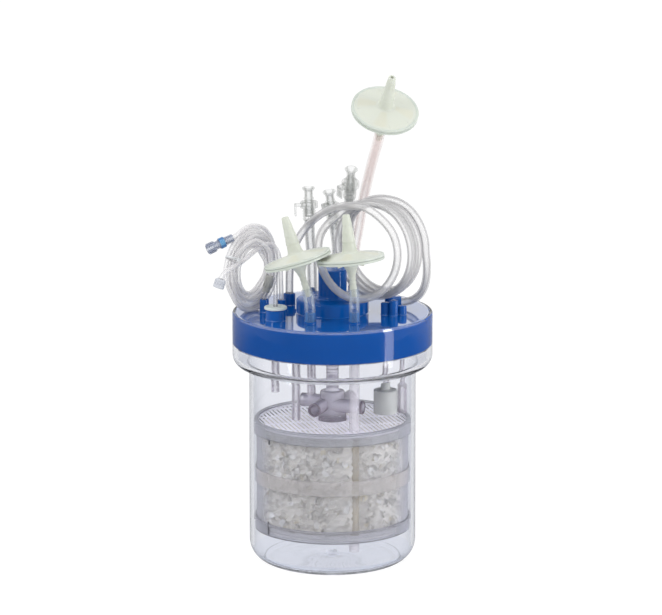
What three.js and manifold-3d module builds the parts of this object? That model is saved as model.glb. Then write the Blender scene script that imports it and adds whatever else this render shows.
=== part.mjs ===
// Bench bioreactor with a packed-bed basket: a clear vessel closed by a moulded head plate that carries the
// magnetic drive, dip tubes, vent filters, quick couplings and two coils of line.
// Millimetres, +Z up, origin at the centre of the base. The front faces -Y.
import * as THREE from 'three';
import { mergeVertices } from 'three/addons/utils/BufferGeometryUtils.js';
import Module from 'manifold-3d';

const wasm = await Module();
wasm.setup();

// ---------------------------------------------------------------- driving dimensions
const clearance = 0.3; // between pieces that touch
const runningGap = 0.8; // round what turns
const hoseFit = 0.5; // between a barb and the hose over it
const roundSides = 40; // facets round the large pieces
const smallSides = 16; // facets round the small ones
const fineSides = 10; // facets round posts, nozzles and pipes

// Clear vessel
const bodyRadius = 83;
const bodyWall = 4;
const baseCorner = 22;
const puntRadius = 48;
const puntRise = 2.5;
const floorBossRadius = 3.5;
const floorBossHeight = 3;
const shoulderHeight = 200; // underside of the collar
const shoulderFillet = 5;
const shoulderRound = 11.5;
const collarOverhang = 16.5; // of the collar beyond the body
const collarWall = 3;
const collarLedge = 2; // step on which the head plate sits
const lipRound = 1.2;
const plateSeat = 221; // height of that step

// Head plate
const plateHeight = 33;
const deckThickness = 5;
const skirtWall = 4.5;
const plateEdgeRound = 2.5;
const drumRadius = 36;
const drumHeight = 13.5; // above the deck
const towerRadius = 14.2;
const towerWall = 3;
const towerHeight = 43.5; // above the deck
const towerFillet = 3.4;
const bossDepth = 14; // of the bosses under the deck
const bossWall = 2.4;
const tubeGrip = 10; // how far a tube goes into its socket
const sinterRadius = 11.7; // of the sample filter
const sinterHeight = 24;
const probeSleeveRadius = 4.7;

// Drive
const shaftRadius = 4;
const magnetLength = 22;
const bushLength = 9;
const couplingRadius = 6.3;
const couplingRibs = 4;
const ribPitch = 5;
const impellerHubRadius = 12.5;
const impellerRise = 14; // hub above the arms' centre
const impellerDrop = 13; // and below it
const spigotRadius = 3.4;
const spigotLength = 10;
const impellerHeight = 160; // centre of the arms
const armCount = 4;
const armRadius = 6.8;
const armWall = 1.6;
const armReach = 35;
const armOffset = 6.5; // of each arm's axis from the shaft's
const armTurn = 250; // direction of the first arm, degrees from +X
const draftTubeRadius = 14;
const draftTubeWall = 2;
const draftTubeFoot = 24;

// Packed-bed basket
const basketTop = 146.5;
const basketBottom = 35;
const topRingHeight = 12.5;
const midRingHeight = 15;
const midRingMiddle = 91;
const bottomRingHeight = 12.5;
const basketInset = 2.7; // from the rings that fit the bore to the basket's wall
const basketWall = 1.2;
const midRingWall = 1.1;
const screenThickness = 2;
const slotWidth = 4;
const slotPitch = 12;
const slotTurn = 76; // direction of the slots, degrees from +X
const sleeveWall = 1.4;
const ringWall = 1.2;
const ringFlange = 3.5;
const lipProud = 1.2;

// Vent filters
const filterRadius = 33.5;
const filterSides = 20;
const filterRim = 5;
const filterDome = 4;
const filterHubRadius = 7.2;
const filterBore = 2.2;
const filterCavity = 1.3;
const topBarbLength = 44; // from the middle of the disc
const topBarbTip = 3.8;
const lowBarbLength = 38;
const lowBarbTip = 3.6;

// Tubing
const fineTube = 2.4; // outer radius of the small line
const fineBore = 1.4;
const lineTube = 4; // outer radius of the large line
const lineBore = 2.6;
const filterTube = 5.4;
const filterTubeBore = 4.1;
const ventTube = 5.3;
const couplingTube = 5.2;
const couplingTubeBore = 3.4;

// Quick couplings
const couplingBodyRadius = 6.6;
const couplingBodyLength = 12;
const couplingCollarRadius = 9;
const couplingCollarLength = 7.5;
const hoseBarbLength = 8;
const plugRadius = 4.4;
const plugLip = 6.6;
const plugReach = 14; // above the collar
const latchWidth = 8;
const latchThickness = 2.4;
const latchPadLength = 12;
const latchTravel = 2;

// Coils of line
const fineCoilAcross = 2; // turns side by side
const fineCoilDeep = 4; // turns on top of each other
const fineCoilRadius = 31.7; // middle of its turns
const finePitch = 4.9;
const fineCoilPlace = [-81, 0];
const fineCoilFacing = -35; // direction of its axis, degrees from +X
const lineCoilTurns = 3;
const lineCoilRadius = 46;
const linePitch = 8.2;
const lineCoilPlace = [46, 4];
const lineCoilFacing = 50;
const coilSides = 32;

// ---------------------------------------------------------------- places that several pieces share
const deckTop = plateSeat + plateHeight;
const collarRadius = bodyRadius + collarOverhang;
const plateRadius = collarRadius - collarWall - clearance;
const plateFoot = plateSeat + clearance;
const deckUnder = deckTop - deckThickness;
const bossFoot = deckUnder - bossDepth;
const bodyBore = bodyRadius - bodyWall;
const drumTop = deckTop + drumHeight;
const towerBore = towerRadius - towerWall;
const shaftTop = deckTop + towerHeight - towerWall - 1.5;
const housingFoot = deckUnder - 8; // of the sleeve that holds the shaft's bush
const couplingTop = housingFoot - 6;
const hubTop = impellerHeight + impellerRise;
const hubFoot = impellerHeight - impellerDrop;
const couplingFoot = hubTop + 4 + clearance;
const sleeveBore = draftTubeRadius + runningGap;
const sleeveRadius = sleeveBore + sleeveWall;
const ringRadius = bodyBore - clearance;
const basketWallRadius = ringRadius - basketInset;
const screenRadius = ringRadius - ringWall - clearance;
const topScreenTop = basketTop - 2 - clearance;
const topScreenFoot = topScreenTop - screenThickness;
const bottomScreenFoot = basketBottom + 2 + clearance;
const bottomScreenTop = bottomScreenFoot + screenThickness;

// Ports on the deck: place in plan, post, height, the socket for a tube, and the dip tube below
const ports = {
  cap: { x: -56, y: -38, radius: 10, height: 10.5, bore: 5.5 },
  riser: { x: -67.7, y: -2, radius: 4.6, height: 12.5, bore: fineTube + hoseFit },
  bleed: { x: -51, y: 12, radius: 4.4, height: 9, bore: fineTube + hoseFit },
  line: { x: -43, y: 31, radius: 5.9, height: 11.5, bore: lineTube + hoseFit },
  lineReturn: { x: 58, y: 14, radius: 5.9, height: 11.5, bore: 0 },
  sensorA: { x: 52.5, y: -15, radius: 4.6, height: 12, bore: 0 },
  sensorB: { x: 60.6, y: -19, radius: 4.4, height: 15, bore: 0 },
  sensorC: { x: 69, y: -15, radius: 4.4, height: 9, bore: 0 },
};
const nozzles = {
  leftFilter: { x: -22, y: -55, height: 14, radius: filterTubeBore - hoseFit },
  rightFilter: { x: 21.5, y: -55, height: 14, radius: filterTubeBore - hoseFit },
  firstCoupling: { x: -20, y: 45, height: 14, radius: couplingTubeBore - hoseFit },
  secondCoupling: { x: 2, y: 58, height: 14, radius: couplingTubeBore - hoseFit },
  thirdCoupling: { x: 22, y: 52, height: 14, radius: couplingTubeBore - hoseFit },
  vent: { x: 20, y: 76, height: 14, radius: filterTubeBore - hoseFit },
};

// ---------------------------------------------------------------- shaping tools
const part = new THREE.Group();

function addPiece(name, geometry, colour, roughness, metalness = 0) {
  const material = new THREE.MeshStandardMaterial({ color: colour, roughness, metalness });
  const mesh = new THREE.Mesh(geometry, material);
  mesh.name = name;
  part.add(mesh);
  return mesh;
}

// Points of an arc from one angle to another, in degrees, as [radius, height] pairs
function arc(centreR, centreZ, radius, from, to, steps) {
  const points = [];
  for (let i = 0; i <= steps; i += 1) {
    const angle = THREE.MathUtils.degToRad(from + ((to - from) * i) / steps);
    points.push([centreR + radius * Math.cos(angle), centreZ + radius * Math.sin(angle)]);
  }
  return points;
}

// Turns a profile of [radius, height] pairs, listed either way round, about the vertical axis
function turned(profile, sides = smallSides) {
  const points = profile.map(([r, z]) => new THREE.Vector2(Math.max(r, 0), z));
  if (THREE.ShapeUtils.area(points) < 0) points.reverse();
  const geometry = new THREE.LatheGeometry(points, sides);
  geometry.rotateX(Math.PI / 2);
  return geometry;
}

// A ring or pipe between two heights
function pipe(outer, inner, low, high, sides = smallSides) {
  return turned([[inner, low], [outer, low], [outer, high], [inner, high], [inner, low]], sides);
}

function rod(radius, low, high, sides = smallSides) {
  return turned([[0, low], [radius, low], [radius, high], [0, high]], sides);
}

// A point given by its height above the deck
function aboveDeck([x, y, height]) {
  return [x, y, deckTop + height];
}

function moved(geometry, x, y, z = 0) {
  return geometry.translate(x, y, z);
}

function toSolid(geometry) {
  const bare = geometry.clone();
  bare.deleteAttribute('normal');
  bare.deleteAttribute('uv');
  const merged = mergeVertices(bare, 1e-4);
  const index = Array.from(merged.index.array);
  const kept = [];
  for (let i = 0; i < index.length; i += 3) {
    const [a, b, c] = index.slice(i, i + 3);
    if (a !== b && b !== c && c !== a) kept.push(a, b, c);
  }
  const mesh = new wasm.Mesh({
    numProp: 3,
    vertProperties: new Float32Array(merged.attributes.position.array),
    triVerts: new Uint32Array(kept),
  });
  return new wasm.Manifold(mesh);
}

function toGeometry(solid) {
  const mesh = solid.getMesh();
  const geometry = new THREE.BufferGeometry();
  geometry.setAttribute('position', new THREE.BufferAttribute(new Float32Array(mesh.vertProperties), 3));
  geometry.setIndex(new THREE.BufferAttribute(new Uint32Array(mesh.triVerts), 1));
  geometry.computeVertexNormals();
  return geometry;
}

// Joins some geometries and cuts others from the result
function carve(joined, cut = []) {
  let solid = toSolid(joined[0]);
  for (const geometry of joined.slice(1)) solid = solid.add(toSolid(geometry));
  for (const geometry of cut) solid = solid.subtract(toSolid(geometry));
  return toGeometry(solid);
}

// A round section, hollow if bore is above zero
function roundSection(radius, bore, sides) {
  const corner = (i, r) => new THREE.Vector2(
    r * Math.cos((2 * Math.PI * i) / sides),
    r * Math.sin((2 * Math.PI * i) / sides),
  );
  const turn = [...Array(sides).keys()];
  const shape = new THREE.Shape(turn.map((i) => corner(i, radius)));
  if (bore > 0) shape.holes.push(new THREE.Path(turn.map((i) => corner(i, bore)).reverse()));
  return shape;
}

// A hose or pipe along a smooth line through points
function hose(points, radius, bore, steps, sides = 10) {
  const path = new THREE.CatmullRomCurve3(points.map((p) => new THREE.Vector3(...p)), false, 'centripetal');
  return new THREE.ExtrudeGeometry(roundSection(radius, bore, sides), { extrudePath: path, steps });
}

// Carries a geometry that stands on the origin to a place, with its axis along a direction
function stood(geometry, place, direction) {
  const turn = new THREE.Quaternion().setFromUnitVectors(
    new THREE.Vector3(0, 0, 1),
    new THREE.Vector3(...direction).normalize(),
  );
  geometry.applyQuaternion(turn);
  return geometry.translate(...place);
}

// ---------------------------------------------------------------- colours
const clear = 0xdfe6ee;
const deepBlue = 0x18488f;
const milky = 0xd2d5cf;
const smoke = 0x8f8b99;
const tubing = 0xc9cbc9;
const basketGrey = 0xa6a5ac;

// ---------------------------------------------------------------- vessel
function vessel() {
  const cornerR = bodyRadius - baseCorner;
  const shoulderR = bodyRadius + shoulderFillet;
  const collarFoot = shoulderHeight + shoulderRound;
  const shoulderWall = collarWall + collarLedge;
  const top = deckTop;
  const outside = [
    [0, puntRise],
    [puntRadius * 0.6, puntRise * 0.64],
    [puntRadius, 0],
    ...arc(cornerR, baseCorner, baseCorner, -90, 0, 4),
    ...arc(shoulderR, shoulderHeight - shoulderFillet, shoulderFillet, 180, 90, 2),
    ...arc(shoulderR, collarFoot, shoulderRound, -90, 0, 3).slice(1),
    [collarRadius, top - lipRound],
    [collarRadius - lipRound, top],
  ];
  const innerFillet = shoulderFillet + bodyWall;
  const innerRound = shoulderRound - shoulderWall;
  const inside = [
    [collarRadius - collarWall, top],
    [collarRadius - collarWall, plateSeat],
    [collarRadius - shoulderWall, plateSeat],
    ...arc(shoulderR, collarFoot, innerRound, 0, -90, 2),
    ...arc(shoulderR, collarFoot - innerRound - innerFillet, innerFillet, 90, 180, 2).slice(1),
    ...arc(cornerR, baseCorner, baseCorner - bodyWall, 0, -90, 3),
    [puntRadius, bodyWall],
    [puntRadius * 0.6, bodyWall + puntRise * 0.64],
    [floorBossRadius + 1, bodyWall + puntRise],
    [floorBossRadius, bodyWall + puntRise + floorBossHeight],
    [0, bodyWall + puntRise + floorBossHeight],
  ];
  return turned([...outside, ...inside], roundSides);
}

// ---------------------------------------------------------------- head plate
function plateShell() {
  const skirtBore = plateRadius - skirtWall;
  return turned([
    [towerBore, housingFoot],
    [towerBore, deckTop + towerHeight - towerWall],
    [0, deckTop + towerHeight - towerWall],
    [0, deckTop + towerHeight],
    [towerRadius - 0.8, deckTop + towerHeight],
    [towerRadius, deckTop + towerHeight - 0.8],
    [towerRadius, drumTop + towerFillet],
    [towerRadius + towerFillet, drumTop],
    [drumRadius - 1.5, drumTop],
    [drumRadius, drumTop - 1.5],
    [drumRadius, deckTop],
    ...arc(plateRadius - plateEdgeRound, deckTop - plateEdgeRound, plateEdgeRound, 90, 0, 2),
    [plateRadius, plateFoot],
    [skirtBore, plateFoot],
    [skirtBore, deckUnder],
    [drumRadius - 4, deckUnder],
    [drumRadius - 4, drumTop - 4],
    [towerRadius + 1, drumTop - 4],
    [towerRadius + 1, housingFoot],
    [towerBore, housingFoot],
  ], roundSides);
}

// A moulded post with a socket, open down to the boss below the deck
function portPost({ x, y, radius, height }) {
  const profile = [
    [0, deckUnder + 1],
    [radius, deckUnder + 1],
    [radius, deckTop + height - 0.8],
    [radius - 0.8, deckTop + height],
    [0, deckTop + height],
  ];
  return moved(turned(profile, fineSides), x, y);
}

// A nozzle with a barb, over which a tube is pushed
function nozzle({ x, y, height, radius }) {
  const neck = radius - 0.6;
  const profile = [
    [0, deckUnder + 1],
    [radius + 2.2, deckUnder + 1],
    [radius + 2.2, deckTop + 1.5],
    [neck, deckTop + 1.5],
    [radius, deckTop + height - 5],
    [neck - 0.4, deckTop + height],
    [0, deckTop + height],
  ];
  return moved(turned(profile, fineSides), x, y);
}

function boss(x, y, bore) {
  return moved(rod(bore + bossWall, bossFoot, deckUnder + 1, fineSides), x, y);
}

// Dip tubes: place in plan, outer radius, bore, foot; each is held in a boss under the deck
const dipTubes = {
  feed_tube: { x: ports.cap.x, y: ports.cap.y, radius: 4, bore: 2.8, foot: 181 },
  sampling_tube: { x: -36, y: -25, radius: 4.3, bore: 3, foot: 149.5 },
  overlay_tube: { x: nozzles.leftFilter.x, y: nozzles.leftFilter.y, radius: 2.9, bore: 1.9, foot: 182 },
  return_tube: { x: nozzles.firstCoupling.x, y: nozzles.firstCoupling.y, radius: 3.2, bore: 2.2, foot: 158 },
  harvest_tube: { x: nozzles.rightFilter.x, y: nozzles.rightFilter.y, radius: 5, bore: 3.6, foot: 22 },
  filter_hanger: { x: ports.sensorA.x, y: ports.sensorA.y, radius: 3, bore: 1.8, foot: 181 },
  probe_sleeve: { x: ports.sensorC.x, y: ports.sensorC.y, radius: 2.4, bore: 1.2, foot: 154 },
};

function headPlate() {
  const posts = Object.values(ports);
  const joined = [plateShell(), ...posts.map(portPost), ...Object.values(nozzles).map(nozzle)];
  const cut = [];
  for (const tube of Object.values(dipTubes)) {
    joined.push(boss(tube.x, tube.y, tube.radius));
    cut.push(moved(rod(tube.radius + clearance, bossFoot - 1, bossFoot + tubeGrip, fineSides), tube.x, tube.y));
  }
  for (const port of posts.filter((p) => p.bore > 0)) {
    cut.push(moved(rod(port.bore, deckTop, deckTop + port.height + 1, fineSides), port.x, port.y));
    cut.push(moved(rod(port.bore * 0.5, bossFoot, deckTop + 1, 6), port.x, port.y));
  }
  for (const spout of Object.values(nozzles)) {
    cut.push(moved(rod(spout.radius - 1.6, bossFoot, deckTop + spout.height + 1, 6), spout.x, spout.y));
  }
  // the side port that takes the other end of the large line
  const side = [ports.lineReturn.x, ports.lineReturn.y, deckTop + lineTube + hoseFit + 1.5];
  joined.push(stood(rod(lineTube + hoseFit + 1.4, 0, 10.5, fineSides), side, [1, 0, 0]));
  cut.push(stood(rod(lineTube + hoseFit, 1.5, 12, fineSides), side, [1, 0, 0]));
  cut.push(moved(rod(lineTube * 0.5, bossFoot, side[2], 6), side[0] + 2, side[1]));
  cut.push(moved(rod(1.4, deckTop - 1, deckTop + 1, 6), 84.5, 6)); // witness mark
  return carve(joined, cut);
}

// ---------------------------------------------------------------- drive
// The driven magnet, pressed on the top of the shaft inside the tower
function magnetHub() {
  const radius = towerBore - runningGap;
  const foot = shaftTop - magnetLength;
  return turned([
    [shaftRadius + clearance, foot],
    [radius - 1, foot],
    [radius, foot + 1],
    [radius, shaftTop - 1],
    [radius - 1, shaftTop],
    [0, shaftTop],
    [0, shaftTop - 6],
    [shaftRadius + clearance, shaftTop - 6],
    [shaftRadius + clearance, foot],
  ]);
}

// Flanged bush under the tower
function shaftBearing() {
  const bore = shaftRadius + clearance;
  const flangeTop = housingFoot - clearance;
  return turned([
    [bore, flangeTop - 2],
    [towerRadius, flangeTop - 2],
    [towerRadius, flangeTop],
    [towerBore - clearance, flangeTop],
    [towerBore - clearance, flangeTop + bushLength],
    [bore, flangeTop + bushLength],
    [bore, flangeTop - 2],
  ]);
}

function driveShaft() {
  return rod(shaftRadius, couplingTop - 12, shaftTop - 6 - clearance, 12);
}

// Ribbed sleeve that joins the shaft to the impeller
function shaftCoupling() {
  const ribs = [];
  for (let i = 0; i < couplingRibs; i += 1) {
    const low = couplingFoot + 2 + i * ribPitch;
    ribs.push([couplingRadius, low], [couplingRadius, low + ribPitch * 0.6]);
    ribs.push([couplingRadius - 1, low + ribPitch * 0.8]);
  }
  const shaftBore = shaftRadius + clearance;
  const spigotBore = spigotRadius + clearance;
  const spigotTop = couplingFoot + spigotLength;
  return turned([
    [spigotBore, couplingFoot],
    [couplingRadius - 1, couplingFoot],
    ...ribs,
    [couplingRadius, couplingTop],
    [shaftBore, couplingTop],
    [shaftBore, couplingTop - 12 - clearance],
    [0, couplingTop - 12 - clearance],
    [0, spigotTop],
    [spigotBore, spigotTop],
    [spigotBore, couplingFoot],
  ], 12);
}

// Hub with hollow arms set off the shaft's axis; liquid rises in the draft tube and leaves at their ends
function impeller() {
  const bore = impellerHubRadius - 3;
  const plugIn = draftTubeRadius - draftTubeWall - clearance;
  const hub = turned([
    [0, hubFoot - 8],
    [plugIn, hubFoot - 8],
    [plugIn, hubFoot],
    [draftTubeRadius, hubFoot],
    [impellerHubRadius, hubFoot + 6],
    [impellerHubRadius, hubTop],
    [couplingRadius + 1.2, hubTop],
    [couplingRadius, hubTop + 4],
    [spigotRadius, hubTop + 4],
    [spigotRadius, hubTop + 3 + spigotLength],
    [0, hubTop + 3 + spigotLength],
  ], 16);
  const joined = [hub];
  const cut = [rod(bore, hubFoot - 9, hubTop - 4, 16)];
  for (let i = 0; i < armCount; i += 1) {
    const turn = THREE.MathUtils.degToRad(armTurn + (360 / armCount) * i);
    const along = [Math.cos(turn), Math.sin(turn), 0];
    const root = [armOffset * along[1], -armOffset * along[0], impellerHeight];
    joined.push(stood(rod(armRadius, 0, armReach, 12), root, along));
    cut.push(stood(rod(armRadius - armWall, 0, armReach + 1, 12), root, along));
  }
  return carve(joined, cut);
}

// ---------------------------------------------------------------- basket
function topRing() {
  const flangeFoot = basketTop - 2;
  const foot = basketTop - topRingHeight;
  return turned([
    [ringRadius - ringWall, foot],
    [ringRadius, foot],
    [ringRadius, basketTop - 0.6],
    [ringRadius - 0.6, basketTop],
    [ringRadius - ringWall - ringFlange, basketTop],
    [ringRadius - ringWall - ringFlange, flangeFoot],
    [ringRadius - ringWall, flangeFoot],
    [ringRadius - ringWall, foot],
  ], roundSides);
}

function bottomRing() {
  const outer = basketWallRadius + clearance + ringWall;
  const inner = basketWallRadius + clearance;
  const top = basketBottom + bottomRingHeight;
  return turned([
    [inner - ringFlange, basketBottom],
    [outer, basketBottom],
    [outer, top - 2],
    [outer + lipProud, top - 2],
    [outer + lipProud, top],
    [inner, top],
    [inner, basketBottom + 2],
    [inner - ringFlange, basketBottom + 2],
    [inner - ringFlange, basketBottom],
  ], roundSides);
}

// Cuts parallel slots and the holes for the dip tube through a screen
function slotted(disc, radius, low) {
  const high = low + screenThickness;
  const cut = [];
  const rows = Math.floor((radius - 8) / slotPitch);
  for (let i = -rows; i <= rows; i += 1) {
    const across = i * slotPitch;
    const half = Math.sqrt((radius - 4) ** 2 - across ** 2);
    const inner = Math.abs(across) < sleeveRadius + 5 ? Math.sqrt((sleeveRadius + 5) ** 2 - across ** 2) : 1;
    for (const side of [-1, 1]) {
      const slot = new THREE.BoxGeometry(half - inner, slotWidth, screenThickness + 2);
      slot.translate((side * (half + inner)) / 2, across, (low + high) / 2);
      slot.rotateZ(THREE.MathUtils.degToRad(slotTurn));
      cut.push(slot);
    }
  }
  const { x, y, radius: tube } = dipTubes.harvest_tube;
  const land = moved(rod(tube + 3, low, high, 12), x, y);
  const hole = moved(rod(tube + clearance, low - 1, high + 1, 12), x, y);
  return toGeometry(toSolid(carve([disc], cut)).add(toSolid(land)).subtract(toSolid(hole)));
}

// The lower screen is moulded with the column that keeps the bed off the draft tube
function bottomScreen() {
  const column = pipe(sleeveRadius, sleeveBore, bottomScreenFoot, topScreenFoot - clearance, 24);
  const radius = basketWallRadius;
  const disc = pipe(radius, sleeveBore, bottomScreenFoot, bottomScreenTop, roundSides);
  return carve([slotted(disc, radius, bottomScreenFoot), column]);
}

function topScreen() {
  const disc = pipe(screenRadius, sleeveBore, topScreenFoot, topScreenTop, roundSides);
  return slotted(disc, screenRadius, topScreenFoot);
}

function basketShell() {
  const low = bottomScreenTop + clearance;
  return pipe(basketWallRadius, basketWallRadius - basketWall, low, topScreenFoot - clearance, roundSides);
}

function fibreBed() {
  const { x, y, radius } = dipTubes.harvest_tube;
  const low = bottomScreenTop + clearance;
  const high = topScreenFoot - clearance;
  const bed = pipe(basketWallRadius - basketWall - clearance, sleeveRadius + clearance, low, high, roundSides);
  return carve([bed], [moved(rod(radius + clearance, low - 1, high + 1, 12), x, y)]);
}

// ---------------------------------------------------------------- under the head plate
function dipTube({ x, y, radius, bore, foot }) {
  return moved(pipe(radius, bore, foot, bossFoot + tubeGrip - clearance, fineSides), x, y);
}

// Sintered sample filter that hangs on its tube by a neck
function sampleFilter() {
  const { x, y, radius, foot } = dipTubes.filter_hanger;
  const socket = radius + clearance;
  const top = foot - 3;
  return moved(turned([
    [0, top - sinterHeight],
    [sinterRadius, top - sinterHeight],
    [sinterRadius, top - 1],
    [sinterRadius - 1, top],
    [socket + 1.4, top],
    [socket + 1.4, top + 9],
    [socket, top + 9],
    [socket, foot - clearance],
    [0, foot - clearance],
  ]), x, y);
}

// Clear probe sleeve, closed below, hung from its own boss
function probeSleeve() {
  const { x, y, radius, bore, foot } = dipTubes.probe_sleeve;
  const wide = probeSleeveRadius;
  const wideTop = 183;
  return moved(turned([
    [0, foot],
    [wide - 1, foot],
    [wide, foot + 1],
    [wide, wideTop],
    [radius, wideTop + 2],
    [radius, bossFoot + tubeGrip - clearance],
    [bore, bossFoot + tubeGrip - clearance],
    [bore, wideTop],
    [wide - 1.2, wideTop - 2],
    [wide - 1.2, foot + 1.5],
    [0, foot + 1.5],
  ], 14), x, y);
}

// ---------------------------------------------------------------- on the deck
function portCap() {
  const { x, y, height, bore } = ports.cap;
  const seat = deckTop + height + clearance;
  const hole = fineTube + clearance;
  return moved(turned([
    [hole, seat - 6],
    [bore - 2 * clearance, seat - 6],
    [bore - 2 * clearance, seat],
    [11.2, seat],
    [11.2, seat + 1.8],
    [10.4, seat + 2.6],
    [hole, seat + 2.6],
    [hole, seat - 6],
  ], 20), x, y);
}

// A tube closed at its top, standing in a socket
function sealedTube(x, y, low, high) {
  return moved(turned([
    [fineBore, low],
    [fineTube, low],
    [fineTube, high - 2],
    [fineTube * 0.5, high],
    [0, high],
    [0, high - 4],
    [fineBore, high - 4],
    [fineBore, low],
  ], fineSides), x, y);
}

const connectorFoot = aboveDeck([-66.2, -2, 20]);
const connectorAxis = [0.3, 0, 0.954];
const connectorLength = 17;

function onAxis(start, axis, distance) {
  const length = Math.hypot(...axis);
  return start.map((value, i) => value + (axis[i] / length) * distance);
}

function taperedConnector() {
  const socket = fineTube + clearance;
  const cone = turned([
    [socket, 0],
    [socket + 0.9, 0],
    [socket + 0.9, 4],
    [socket + 2.4, 13],
    [socket + 2.4, connectorLength],
    [socket, connectorLength],
    [socket, 11],
    [fineBore, 11],
    [fineBore, 5],
    [socket, 5],
    [socket, 0],
  ], 10);
  return stood(cone, connectorFoot, connectorAxis);
}

function riserTube() {
  const { x, y } = ports.riser;
  const straight = [-5, 0, 5 - clearance].map((i) => onAxis(connectorFoot, connectorAxis, i));
  const route = [[x, y, deckTop + clearance], [x, y, deckTop + 11], ...straight];
  return hose(route, fineTube, fineBore, 5, 8);
}

// ---------------------------------------------------------------- vent filters
// Upper half of a disc filter, with its barb pointing up
function filterTop() {
  const half = filterRim / 2;
  return turned([
    [filterRadius - 4, clearance / 2],
    [filterRadius, clearance / 2],
    [filterRadius, half],
    [filterRadius - 2.5, half],
    [filterHubRadius + 2, half + filterDome],
    [filterHubRadius, half + filterDome + 3],
    [topBarbTip, topBarbLength],
    [filterBore, topBarbLength],
    [filterBore, filterCavity],
    [filterRadius - 4, filterCavity],
    [filterRadius - 4, clearance / 2],
  ], filterSides);
}

// Lower half, with a stepped hose barb pointing down
function filterBase() {
  const half = filterRim / 2;
  return turned([
    [filterRadius - 4, -clearance / 2],
    [filterRadius, -clearance / 2],
    [filterRadius, -half],
    [filterRadius - 2.5, -half],
    [filterHubRadius + 2, 1 - half - filterDome],
    [filterHubRadius - 0.6, -2 - half - filterDome],
    [lowBarbTip - 0.5, -18],
    [lowBarbTip, 8 - lowBarbLength],
    [lowBarbTip - 0.8, -lowBarbLength],
    [filterBore, -lowBarbLength],
    [filterBore, -filterCavity],
    [filterRadius - 4, -filterCavity],
    [filterRadius - 4, -clearance / 2],
  ], filterSides);
}

// Each filter: middle of its disc, the way its upper barb points, the nozzle it stands on, and the
// points that its tube follows between the two
const filters = {
  left_filter: {
    centre: aboveDeck([-34.2, -52, 63]),
    axis: [-0.284, 0.06, 0.957],
    from: nozzles.leftFilter,
    way: [],
  },
  right_filter: {
    centre: aboveDeck([17.6, -52, 64]),
    axis: [-0.1, 0.06, 0.993],
    from: nozzles.rightFilter,
    way: [],
  },
  vent_filter: {
    centre: aboveDeck([51.5, 0, 202]),
    axis: [0.157, -0.512, 0.845],
    from: nozzles.vent,
    way: [[21.5, 76, 40], [26, 71, 68], [31.5, 59, 104], [38.5, 40, 139]].map(aboveDeck),
  },
};

function filterHose({ centre, axis, from, way }, radius, bore, steps) {
  const foot = [from.x, from.y, deckTop + 1.5 + clearance];
  const clearOfNozzle = [from.x, from.y, deckTop + from.height];
  const straight = [0, 8].map((i) => onAxis(centre, axis, i - lowBarbLength));
  return hose([foot, clearOfNozzle, ...way, ...straight], radius, bore, steps);
}

// ---------------------------------------------------------------- quick couplings
// Female body: hose barb, ribbed grip and collar with a slot for the latch. Stands on the end of its tube
function couplingBody() {
  const collarTop = couplingBodyLength + couplingCollarLength;
  const barb = couplingTubeBore - hoseFit;
  const plugBore = plugRadius + clearance;
  const shell = turned([
    [1.6, -hoseBarbLength],
    [barb - 0.5, -hoseBarbLength],
    [barb, -hoseBarbLength + 2],
    [barb, clearance],
    [couplingBodyRadius, clearance],
    [couplingBodyRadius, couplingBodyLength],
    [couplingCollarRadius, couplingBodyLength + 1],
    [couplingCollarRadius, collarTop - 1],
    [couplingCollarRadius - 1, collarTop],
    [plugBore, collarTop],
    [plugBore, 4],
    [1.6, 4],
    [1.6, -hoseBarbLength],
  ], 12);
  const slot = new THREE.BoxGeometry(couplingCollarRadius, latchWidth + 0.8, latchThickness + 0.8);
  slot.translate(-couplingCollarRadius / 2 - 3, 0, latchHeight());
  return carve([shell], [slot]);
}

function latchHeight() {
  return couplingBodyLength + couplingCollarLength / 2;
}

// Thumb latch: a plate that slides into the collar, with a pad turned down outside
function couplingLatch() {
  const inner = plugRadius + clearance + 0.5 + latchTravel;
  const outer = couplingCollarRadius + latchTravel + 3.6;
  const plate = new THREE.BoxGeometry(outer - inner, latchWidth, latchThickness);
  plate.translate(-(outer + inner) / 2, 0, latchHeight());
  const pad = new THREE.BoxGeometry(2, latchWidth, latchPadLength);
  pad.translate(-outer + 1, 0, latchHeight() + latchThickness / 2 - latchPadLength / 2);
  return carve([plate, pad]);
}

// Plug with a flared lip, open above
function couplingPlug() {
  const low = 4 + clearance;
  const top = couplingBodyLength + couplingCollarLength + plugReach;
  return turned([
    [0, low],
    [plugRadius - 0.6, low],
    [plugRadius, low + 1],
    [plugRadius, top - 5],
    [plugLip, top - 1.2],
    [plugLip, top],
    [plugLip - 1.2, top],
    [plugRadius - 1, top - 5],
    [plugRadius - 1, low + 3],
    [0, low + 3],
  ], 12);
}

// Each coupling: the nozzle of its tube, the points the tube passes, the end it stands on, the way it
// points, and the direction of its latch in degrees from +X
const couplings = [
  {
    from: nozzles.firstCoupling,
    way: [[-21, 45, 46]].map(aboveDeck),
    end: aboveDeck([-23, 45, 83]),
    axis: [-0.03, 0, 1],
    latchTurn: 0,
  },
  {
    from: nozzles.secondCoupling,
    way: [[4.4, 57, 52]].map(aboveDeck),
    end: aboveDeck([1.2, 55, 79]),
    axis: [-0.139, -0.16, 0.977],
    latchTurn: -60,
  },
  {
    from: nozzles.thirdCoupling,
    way: [[20.5, 53.5, 34], [17.6, 57, 58]].map(aboveDeck),
    end: aboveDeck([17.1, 54.2, 104.2]),
    axis: [0.05, -0.34, 0.94],
    latchTurn: 40,
  },
];

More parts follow.
